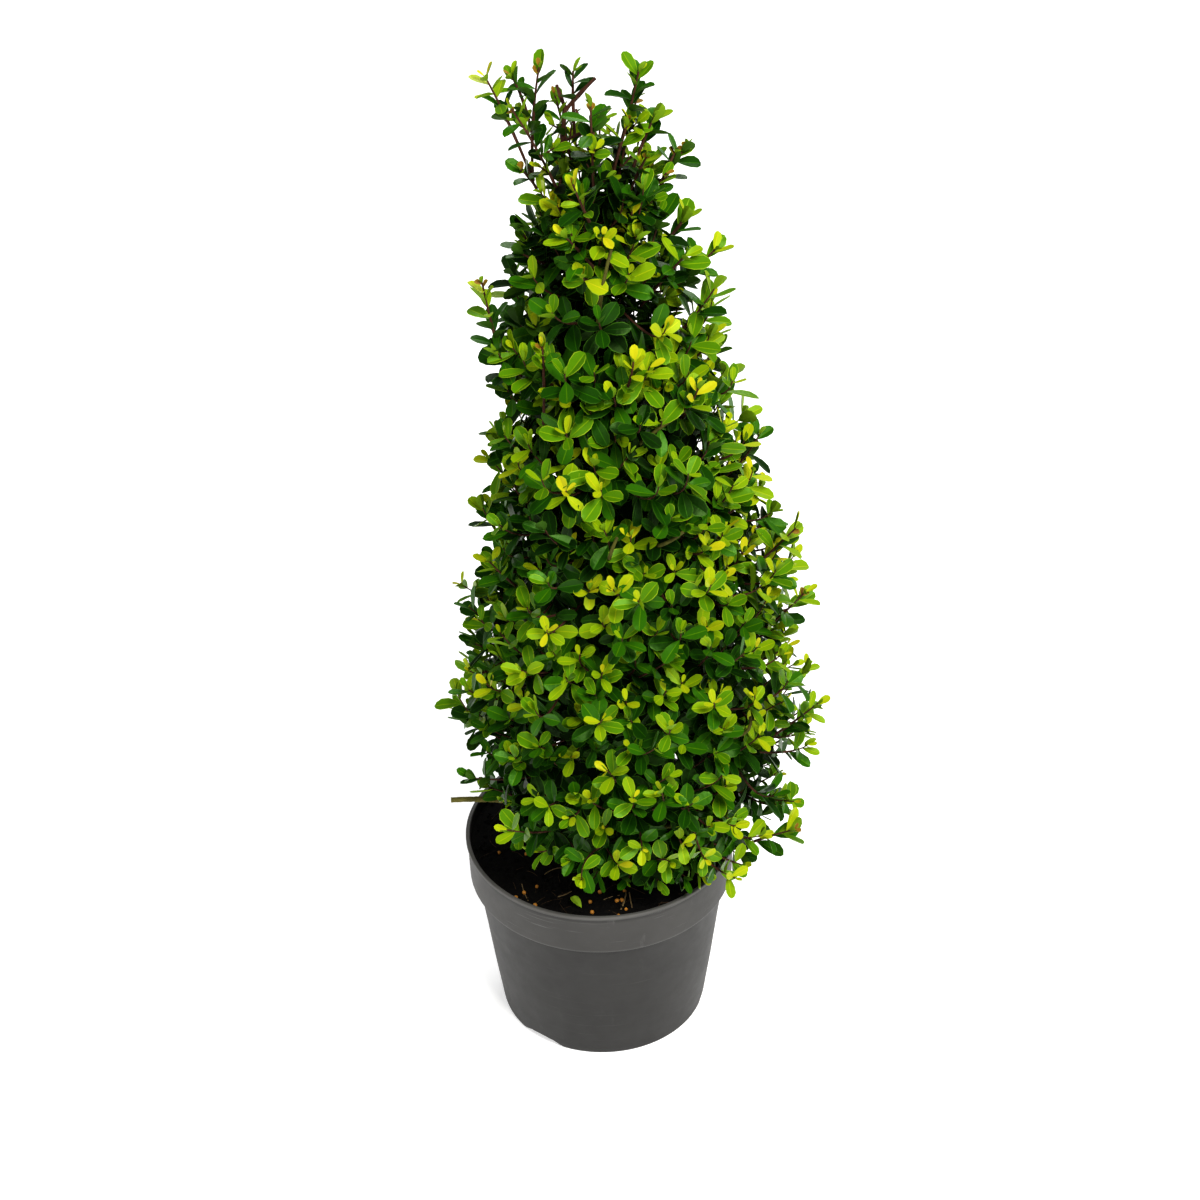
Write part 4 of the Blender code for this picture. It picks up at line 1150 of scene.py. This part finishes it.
class HollyCrownSettings(bpy.types.PropertyGroup):
    """Sizes and number of the shoots and leaves."""

    seed: whole_number("Seed", "Seed of the growth rule", 4)
    leaf_length: length_value("Leaf length", "Length of a grown leaf", 0.0186)
    leaf_spacing: length_value("Leaf spacing", "Distance between old leaves", 0.0056)
    leaves_least: whole_number("Fewest leaves", "Fewest leaves on a shoot", 11)
    leaves_most: whole_number("Most leaves", "Most leaves on a shoot", 14)
    inner_leaves: whole_number("Inner leaves", "Old leaves on each branchlet", 15, min=0)
    tip_depth_least: length_value("Least tip depth", "Least depth of shoot tips in the cone", 0.000)
    tip_depth_most: length_value("Most tip depth", "Most depth of shoot tips in the cone", 0.022)
    outgrown: real_value("Outgrown", "Share of shoots that stand out of the cone", 0.09, subtype="FACTOR")
    leaf_opening: real_value(
        "Leaf opening", "Angle of old leaves from their shoot", math.radians(60), unit="ROTATION"
    )
    to_light: real_value("Turned to light", "How far leaves turn to the light", 0.26, subtype="FACTOR")
    gloss_tone: colour_value("Gloss tone", "Tone of the leaves' gloss", (0.46, 0.86, 0.24))


class HollyStageSettings(bpy.types.PropertyGroup):
    """Floor, lights and camera of the studio."""

    floor_size: length_value("Floor size", "Side of the square floor", 14.0)
    floor_colour: colour_value("Floor", "Colour of the floor", (0.86, 0.86, 0.86))
    floor_glow: real_value("Floor glow", "Light from under the floor paper", 0.45)
    sky_strength: real_value("Sky", "Strength of the even light", 0.21)
    key_power: real_value("Key", "Power of the main soft box", 66.0, unit="POWER")
    lens: real_value("Lens", "Focal length in millimetres", 84.4)


SETTINGS = (
    ("holly_pot", HollyPotSettings),
    ("holly_soil", HollySoilSettings),
    ("holly_bark", HollyBarkSettings),
    ("holly_crown", HollyCrownSettings),
    ("holly_stage", HollyStageSettings),
)


# ---------------------------------------------------------------- operators


def nodes_named(*starts):
    """The frame's nodes whose names start so."""
    found = sorted(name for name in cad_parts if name.startswith(starts))
    if not found:
        raise RuntimeError(f"the frame has no node named {starts}")
    return found


class HOLLY_OT_pot(bpy.types.Operator):
    """Make the nursery pot in place of the frame's pot"""

    bl_idname = "holly.pot"
    bl_label = "Pot"

    def execute(self, context):
        settings = context.scene.holly_pot
        collar = RIM_RADIUS - LIP
        wall_top = collar - COLLAR_STEP
        inner_top = wall_top - WALL
        foot, step = settings.foot_radius, settings.collar_height
        ring_inner = foot - FOOT_RING_WIDTH
        # Radius, height and rounding, from the middle of the underside round the rim to that of the floor
        corners = (
            (0.0, 0.0, 0),
            (BOSS_RADIUS, 0.0, 0.0005),
            (BOSS_RADIUS + 0.001, FLOOR_RECESS, 0.0005),
            (ring_inner - 0.001, FLOOR_RECESS, 0.0005),
            (ring_inner, 0.0, 0.0005),
            (foot - 0.0006, 0.0, 0.0018),
            (foot + 0.0002, 0.0055, 0.0008),
            (blend(foot, wall_top, 0.34), step * 0.34, 0.001),
            (blend(foot, wall_top, 0.67), step * 0.67, 0.001),
            (wall_top, step - 0.0026, 0.0012),
            (collar - 0.0008, step - 0.0002, 0.0018),
            (collar, POT_HEIGHT - 0.0032, 0.0006),
            (RIM_RADIUS, POT_HEIGHT - 0.0026, 0.0006),
            (RIM_RADIUS, POT_HEIGHT, 0.0010),
            (RIM_RADIUS - 0.0030, POT_HEIGHT, 0.0010),
            (collar - 0.0019, POT_HEIGHT - 0.0030, 0.0006),
            (collar - 0.0021, step + 0.0014, 0.0010),
            (inner_top, step + 0.0002, 0.0010),
            (inner_top, step - 0.0024, 0.0010),
            (foot - 0.0008, FLOOR_TOP, 0.0010),
            (0.0, FLOOR_TOP, 0),
        )
        arch_radius = (ARCH_HALF_WIDTH**2 + ARCH_HEIGHT**2) / (2 * ARCH_HEIGHT)

        def arched(radius, height, turn):
            """Under each arch the foot's points rise to the arch's curve."""
            lift = np.zeros_like(radius)
            for i in range(ARCHES):
                off = np.angle(np.exp(1j * (turn - FIRST_ARCH - 2 * np.pi * i / ARCHES)))
                beside = np.minimum(np.abs(off) * radius, ARCH_HALF_WIDTH)
                curve = ARCH_HEIGHT - arch_radius + np.sqrt(arch_radius**2 - beside**2)
                lift = np.maximum(lift, curve)
            at_foot = radius > ring_inner - 0.0012
            return radius, np.where(at_foot & (height < FLOOR_TOP - 0.001), np.maximum(height, lift), height)

        verts, faces = turned(rounded(corners), settings.sides, arched)
        finishes = [plastic_finish(settings)]
        pot = make_piece("nursery_pot", verts, faces, finishes, ["pot"], POT_SHARP_DEG)
        places = DRAIN_RING_RADIUS * ring_direction(turns(DRAIN_HOLES))
        drilled(pot, DRAIN_HOLE_RADIUS, places, -0.001, FLOOR_TOP + 0.001)
        pot.data.set_sharp_from_angle(angle=math.radians(POT_SHARP_DEG))
        return {"FINISHED"}


# The soil's clods and grains: height, wavelength and seed of each field of ripples
CLODS = ((0.0011, 0.017, 31), (0.0006, 0.006, 32), (0.0003, 0.0025, 33))
# Feed beads in front, and the fallen leaf's root: x and y in millimetres
BEADS = (
    (-79.0, -45.6), (-44.9, -51.1), (-53.8, -59.1), (-59.4, -63.0), (-46.2, -71.8), (-1.2, -61.0),
    (-8.2, -69.1), (-7.0, -79.4), (10.4, -69.8), (13.2, -68.8), (16.4, -77.2),
)
FALLEN_LEAF = (-14.0, -78.0)
SOIL_RINGS, SOIL_SIDES = 72, 224


def soil_height(points):
    """The soil's surface: its low mound with clods and grains on it."""
    radius = np.linalg.norm(points, axis=-1)
    edge = POT_HEIGHT - 0.0085
    mound = blend(SOIL_TOP, edge, np.clip((radius - 0.030) / (RIM_RADIUS - 0.033), 0, 1)) - 0.0006
    clods = sum(rise * ripple(points, wavelength, seed) for rise, wavelength, seed in CLODS)
    return mound + clods * np.clip((RIM_RADIUS - 0.0035 - radius) / 0.004, 0.25, 1)


def scattered(count, rng, inner=0.012, outer=RIM_RADIUS - 0.007):
    """Places spread evenly by chance between two circles."""
    radius = np.sqrt(rng.uniform(inner**2, outer**2, count))
    return flat_places(radius, rng.uniform(0, 2 * np.pi, count))


def on_soil(flat, rise):
    """World points over the soil."""
    return np.concatenate([flat, (soil_height(flat) + rise)[:, None]], axis=1)


def strewn(name, count, lengths, radius, lift, material, rng):
    """A piece of thin bent bits that lie on the soil by both ends."""
    middle = on_soil(scattered(count, rng), radius + 0.0003)
    half = ring_direction(rng.uniform(0, 2 * np.pi, count)) * rng.uniform(*lengths, (count, 1)) / 2
    bend = middle + rng.normal(0, 0.25, (count, 3)) * np.abs(half).max(1)[:, None]
    paths = np.stack([middle - half, bend, middle + half], 1)
    paths[:, 1, 2] = middle[:, 2] + rng.uniform(0.0, lift, count)
    for end in (0, 2):
        paths[:, end, 2] = soil_height(paths[:, end, :2]) + radius
    radii = np.full((count, 2), radius) * rng.uniform(0.6, 1.3, (count, 1))
    verts, faces = tubes(paths, radii, 5, 4)
    make_piece(name, verts, faces, [material], sharp_deg=50)


class HOLLY_OT_soil(bpy.types.Operator):
    """Make the potting soil with its crumbs, fibres, feed beads and a fallen leaf"""

    bl_idname = "holly.soil"
    bl_label = "Soil"

    def execute(self, context):
        settings = context.scene.holly_soil
        rng = np.random.default_rng(settings.seed)
        peat = peat_finish(settings)
        collar = RIM_RADIUS - LIP - COLLAR_WALL
        wall_top = RIM_RADIUS - LIP - COLLAR_STEP - WALL - CLEARANCE
        side = (
            (0.0, FLOOR_TOP + CLEARANCE),
            (FOOT_RADIUS - 0.0012, FLOOR_TOP + CLEARANCE),
            (wall_top, COLLAR_BOTTOM - 0.0024),
            (wall_top, COLLAR_BOTTOM + 0.0006),
            (collar, COLLAR_BOTTOM + 0.0022),
        )
        rings = np.linspace(collar, 0.0, SOIL_RINGS)
        profile = np.concatenate([side, np.stack([rings, np.full(SOIL_RINGS, POT_HEIGHT)], axis=1)])
        profile[-1, 1] = float(soil_height(np.zeros((1, 2)))[0])

        def cloddy(radius, height, turn):
            """The top's points lie on the soil's uneven surface."""
            on_top = soil_height(flat_places(radius, turn))
            return radius, np.where(height >= POT_HEIGHT, on_top, height)

        verts, faces = turned(profile, SOIL_SIDES, cloddy)
        make_piece("soil_surface", verts, faces, [peat], ["soil"])
        self.litter(settings, peat, rng)
        return {"FINISHED"}

    def litter(self, settings, peat, rng):
        """Crumbs, fibres and straws, feed beads, and the fallen leaf."""
        size = rng.uniform(0.0007, 0.0021, settings.crumbs) * rng.uniform(0.6, 1.2, settings.crumbs)
        verts, faces = lumps(on_soil(scattered(settings.crumbs, rng), size * 0.2), size, 0.35, rng)
        make_piece("soil_crumbs", verts, faces, [peat])

        fibre = plain_finish("peat_fibre", (0.030, 0.017, 0.008), (0.075, 0.042, 0.018), 300.0, 0.9)
        straw = plain_finish("pale_straw", (0.15, 0.10, 0.045), (0.28, 0.20, 0.10), 300.0, 0.8)
        strewn("soil_fibres", settings.fibres, (0.006, 0.018), 0.00022, 0.003, fibre, rng)
        strewn("soil_straws", 16, (0.008, 0.020), 0.00045, 0.0015, straw, rng)

        places = np.concatenate([np.array(BEADS) / 1000, scattered(14, rng, 0.030, 0.086)])
        size = rng.uniform(0.0012, 0.0016, len(places))
        verts, faces = lumps(on_soil(places, 0.0009), size, 0.05, rng, 7, 12)
        bead = plain_finish("feed_bead", Vector(settings.bead_colour) * 0.7, settings.bead_colour, 500.0, 0.4)
        make_piece("feed_beads", verts, faces, [bead])

        root = on_soil(np.array([FALLEN_LEAF]) / 1000, 0.0032)
        along = unit(np.array([[-0.55, 0.80, 0.10]]))
        face = unit(np.cross(np.cross(along, UP), along) + np.array([[0.25, -0.30, 0.0]]))
        face = unit(face - along * (face * along).sum())
        length_width_fold_curl = np.array([[0.012], [0.0065], [0.5], [0.05]])
        verts = leaf_surface(root, along, face, *length_width_fold_curl)
        leaf = plain_finish("fallen_leaf", (0.24, 0.42, 0.02), (0.38, 0.56, 0.03), 200.0, 0.45)
        make_piece("fallen_leaf", verts[0], leaf_faces()[0], [leaf], sharp_deg=25)


class HOLLY_OT_limbs(bpy.types.Operator):
    """Make the bark of the main stem, the boughs and the pruned branch"""

    bl_idname = "holly.limbs"
    bl_label = "Stem and boughs"

    def execute(self, context):
        settings = context.scene.holly_bark
        old = Vector(settings.old_colour)
        bark = bark_finish("old_bark", old * 0.45, old * 1.15, 160.0, (1.0, 1.0, 0.28))
        self.stem(settings.relief, bark)
        bough_paths = np.stack([cell.bough() for cell in tier_cells()])
        radii = np.broadcast_to([BOUGH_RADIUS, BOUGH_TIP_RADIUS], (len(bough_paths), 2))
        verts, faces = tubes(bough_paths, radii, 26, 14, self.ridged(settings.relief))
        make_piece("bough_bark", verts, faces, [bark], nodes_named("bough_"))
        radii = np.array([[STUB_RADIUS, STUB_TIP_RADIUS]])
        verts, faces = tubes(stub_path()[None], radii, 60, 16, self.ridged(settings.relief * 1.3))
        weathered = bark_finish("weathered_bark", old * 0.7, old * 1.9, 160.0, (0.28, 1.0, 1.0))
        make_piece("pruned_branch_bark", verts, faces, [weathered], ["pruned_branch"])
        return {"FINISHED"}

    def ridged(self, relief):
        """Radius scale: wandering ridges along the limb and swollen leaf scars across it."""

        def swell(points, t, turn):
            ridges = ripple(points * [1.0, 1.0, 0.35], 0.0028, 41)
            scars = 0.5 * ripple(points, 0.012, 42)
            return 1 - relief + relief * (0.6 * ridges + 0.4 * scars)

        return swell

    def stem(self, relief, bark):
        """The trunk: level rings of radius r(h) round the bowed centre line, lobed at the root flare."""
        at_flare = GROUND + np.linspace(0, 0.020, 14)
        heights = np.concatenate([at_flare, np.linspace(GROUND + 0.0225, STEM_TOP, 130)])
        turn = turns(STEM_SIDES)
        flare = flare_share(heights)[:, None]
        radius = stem_radius(heights)[:, None] * (1 + 0.14 * flare * np.cos(4 * turn + 0.5))
        centre = stem_point(heights)[:, None]
        rough = centre + ring_direction(turn) * radius[..., None]
        ridges, scars = ripple(rough * [1, 1, 0.3], 0.0045, 43), ripple(rough, 0.016, 44)
        radius = radius * (1 - relief + relief * (0.6 * ridges + 0.4 * scars))
        grid = centre + ring_direction(turn) * radius[..., None]
        verts = np.concatenate([grid.reshape(-1, 3), centre[0], centre[-1]])
        faces = ring_faces(len(heights), STEM_SIDES)
        make_piece("stem_bark", verts, faces, [bark], ["main_stem"])


class HOLLY_OT_twigs(bpy.types.Operator):
    """Make the branchlets and the young shoots of every mass"""

    bl_idname = "holly.twigs"
    bl_label = "Twigs"

    def execute(self, context):
        bark, crown = context.scene.holly_bark, context.scene.holly_crown
        growth = grow(crown)
        olive, young = Vector(bark.branchlet_colour), Vector(bark.young_colour)
        grown = bark_finish("twig_bark", olive * 0.45, olive * 1.15, 260.0, (1.0, 1.0, 0.5))
        fresh = bark_finish("shoot_bark", young * 0.55, young * 1.25, 300.0, (1.0, 1.0, 0.6))

        def knotted(points, t, turn):
            """Radius scale: swellings along a shoot, as at its leaf joints."""
            return 1 + 0.16 * np.sin(t * 60)

        paths = np.concatenate([growth.branchlets, face_stems()])
        old_stems = np.broadcast_to(RADII["old_stem"], (len(FACE_STEMS), 2))
        radii = np.concatenate([growth.branchlet_radii, old_stems])
        verts, faces = tubes(paths, radii, 12, 7)
        make_piece("branchlets", verts, faces, [grown])
        verts, faces = tubes(growth.shoots, growth.shoot_radii, 12, 5, knotted)
        make_piece("young_shoots", verts, faces, [fresh])
        return {"FINISHED"}


class HOLLY_OT_leaves(bpy.types.Operator):
    """Make the leaves of every mass in place of the frame's masses"""

    bl_idname = "holly.leaves"
    bl_label = "Leaves"

    def execute(self, context):
        settings = context.scene.holly_crown
        growth = grow(settings)
        finishes = leaf_finishes(settings)
        outer, outer_tint, outer_tier = shoot_leaves(growth, settings)
        inner, inner_tint = inner_leaves(growth, settings)
        for tier in ("skirt", "lower", "middle", "upper", "top"):
            chosen = (outer_tier == tier) & clear_of_pot(outer)
            masses = nodes_named(f"{tier}_")
            self.leaf_piece(f"leaves_{tier}", outer[chosen], outer_tint[chosen], finishes, masses)
        chosen = clear_of_pot(inner)
        self.leaf_piece("leaves_inside", inner[chosen], inner_tint[chosen], finishes, ())
        return {"FINISHED"}

    def leaf_piece(self, name, verts, tint, finishes, replaced):
        """Joins leaves into one piece and deals their tints to blade, edge, midrib and underside."""
        template, kinds = leaf_faces()
        faces = repeated(template, len(verts), verts.shape[1])
        bright = tint >= TINT["fresh"]
        # The edge strip takes a paler tint: a painted highlight along the leaf's margin
        edge = np.where(bright, TINT["edge_bright"], TINT["edge_dark"])
        under = np.where(bright, TINT["under_bright"], TINT["under_dark"])
        rib = np.where(tint < TINT["yellow"], tint + 1, tint)
        dealt = np.stack([tint, edge, rib, under], axis=1)[:, kinds].ravel()
        make_piece(name, verts.reshape(-1, 3), faces, finishes, replaced, 24, dealt)


# Soft boxes: name, place, side, share of the main one's power, and colour
LIGHTS = (
    ("key", (0.85, -1.3, 2.3), 1.1, 1.0, (1.0, 0.985, 0.95)),
    ("fill", (-1.8, -1.0, 1.3), 1.6, 0.19, (1.0, 1.0, 0.98)),
    ("back", (0.5, 1.8, 2.0), 1.2, 0.35, (1.0, 1.0, 1.0)),
)
LIGHTS_AIM = Vector((0.0, 0.0, 0.35))
CAMERA_PLACE = Vector((0.0, -1.5273, 1.4401))
CAMERA_RIGHT = Vector((0.999694, -0.015918, -0.018922))
CAMERA_UP = Vector((0.024651, 0.581684, 0.813041))
CAMERA_BACK = Vector((-0.001935, -0.813259, 0.581899))


class HOLLY_OT_stage(bpy.types.Operator):
    """Make the floor, the lights, the sky and the camera"""

    bl_idname = "holly.stage"
    bl_label = "Studio"

    def execute(self, context):
        settings = context.scene.holly_stage
        half = settings.floor_size / 2
        mesh = bpy.data.meshes.new("studio_floor")
        corners = [(-half, -half, 0), (half, -half, 0), (half, half, 0), (-half, half, 0)]
        mesh.from_pydata(corners, [], [(0, 1, 2, 3)])
        made, tree, shader = finish("floor_paper", settings.floor_colour, 0.9, 0.1)
        low, high = Vector(settings.floor_colour) * 0.99, Vector(settings.floor_colour)
        tree.links.new(ramp(tree, pattern(tree, 3.0), ((0.3, low), (0.7, high))), shader.inputs["Base Color"])
        shader.inputs["Emission Color"].default_value = (1.0, 1.0, 1.0, 1.0)
        shader.inputs["Emission Strength"].default_value = settings.floor_glow
        mesh.materials.append(made)
        floor = bpy.data.objects.new("studio_floor", mesh)
        context.scene.collection.objects.link(floor)
        for name, place, size, share, colour in LIGHTS:
            self.light(name, place, size, settings.key_power * share, colour)
        world = bpy.data.worlds.new("studio_sky")
        world.use_nodes = True
        sky = world.node_tree.nodes["Background"]
        sky.inputs["Color"].default_value = (1.0, 1.0, 1.0, 1.0)
        sky.inputs["Strength"].default_value = settings.sky_strength
        context.scene.world = world
        context.scene.view_settings.view_transform = "Standard"
        context.scene.view_settings.look = "Medium High Contrast"
        self.camera(context, settings)
        return {"FINISHED"}

    def light(self, name, place, size, power, colour):
        """A square soft box that faces the middle of the plant."""
        data = bpy.data.lights.new(name, "AREA")
        data.shape, data.size, data.energy, data.color = "SQUARE", size, power, colour
        lamp = bpy.data.objects.new(name, data)
        lamp.location = place
        lamp.rotation_euler = (LIGHTS_AIM - lamp.location).to_track_quat("-Z", "Y").to_euler()
        bpy.context.scene.collection.objects.link(lamp)

    def camera(self, context, settings):
        """The camera, set by its place and its three axes."""
        data = bpy.data.cameras.new("camera")
        data.sensor_width, data.lens = 36.0, settings.lens
        data.clip_start, data.clip_end = 0.05, 50.0
        camera = bpy.data.objects.new("camera", data)
        turn = Matrix((CAMERA_RIGHT, CAMERA_UP, CAMERA_BACK)).transposed().to_4x4()
        camera.matrix_world = Matrix.Translation(CAMERA_PLACE) @ turn
        context.scene.collection.objects.link(camera)
        context.scene.camera = camera


OPERATORS = (HOLLY_OT_pot, HOLLY_OT_soil, HOLLY_OT_limbs, HOLLY_OT_twigs, HOLLY_OT_leaves, HOLLY_OT_stage)


class HOLLY_PT_panel(bpy.types.Panel):
    """Lists the pieces and their settings"""

    bl_idname = "HOLLY_PT_panel"
    bl_label = "Potted Holly"
    bl_space_type = "VIEW_3D"
    bl_region_type = "UI"
    bl_category = "Holly"

    def draw(self, context):
        for operator in OPERATORS:
            self.layout.operator(operator.bl_idname, text=operator.bl_label)
        for name, group in SETTINGS:
            box = self.layout.box()
            box.label(text=group.__doc__)
            for prop in group.__annotations__:
                box.prop(getattr(context.scene, name), prop)


def register():
    for name, group in SETTINGS:
        bpy.utils.register_class(group)
        setattr(bpy.types.Scene, name, bpy.props.PointerProperty(type=group))
    for operator in OPERATORS:
        bpy.utils.register_class(operator)
    bpy.utils.register_class(HOLLY_PT_panel)


def unregister():
    bpy.utils.unregister_class(HOLLY_PT_panel)
    for operator in reversed(OPERATORS):
        bpy.utils.unregister_class(operator)
    for name, group in reversed(SETTINGS):
        delattr(bpy.types.Scene, name)
        bpy.utils.unregister_class(group)


def main():
    register()
    for make in ("pot", "soil", "limbs", "twigs", "leaves", "stage"):
        getattr(bpy.ops.holly, make)()


if __name__ == "__main__":
    main()
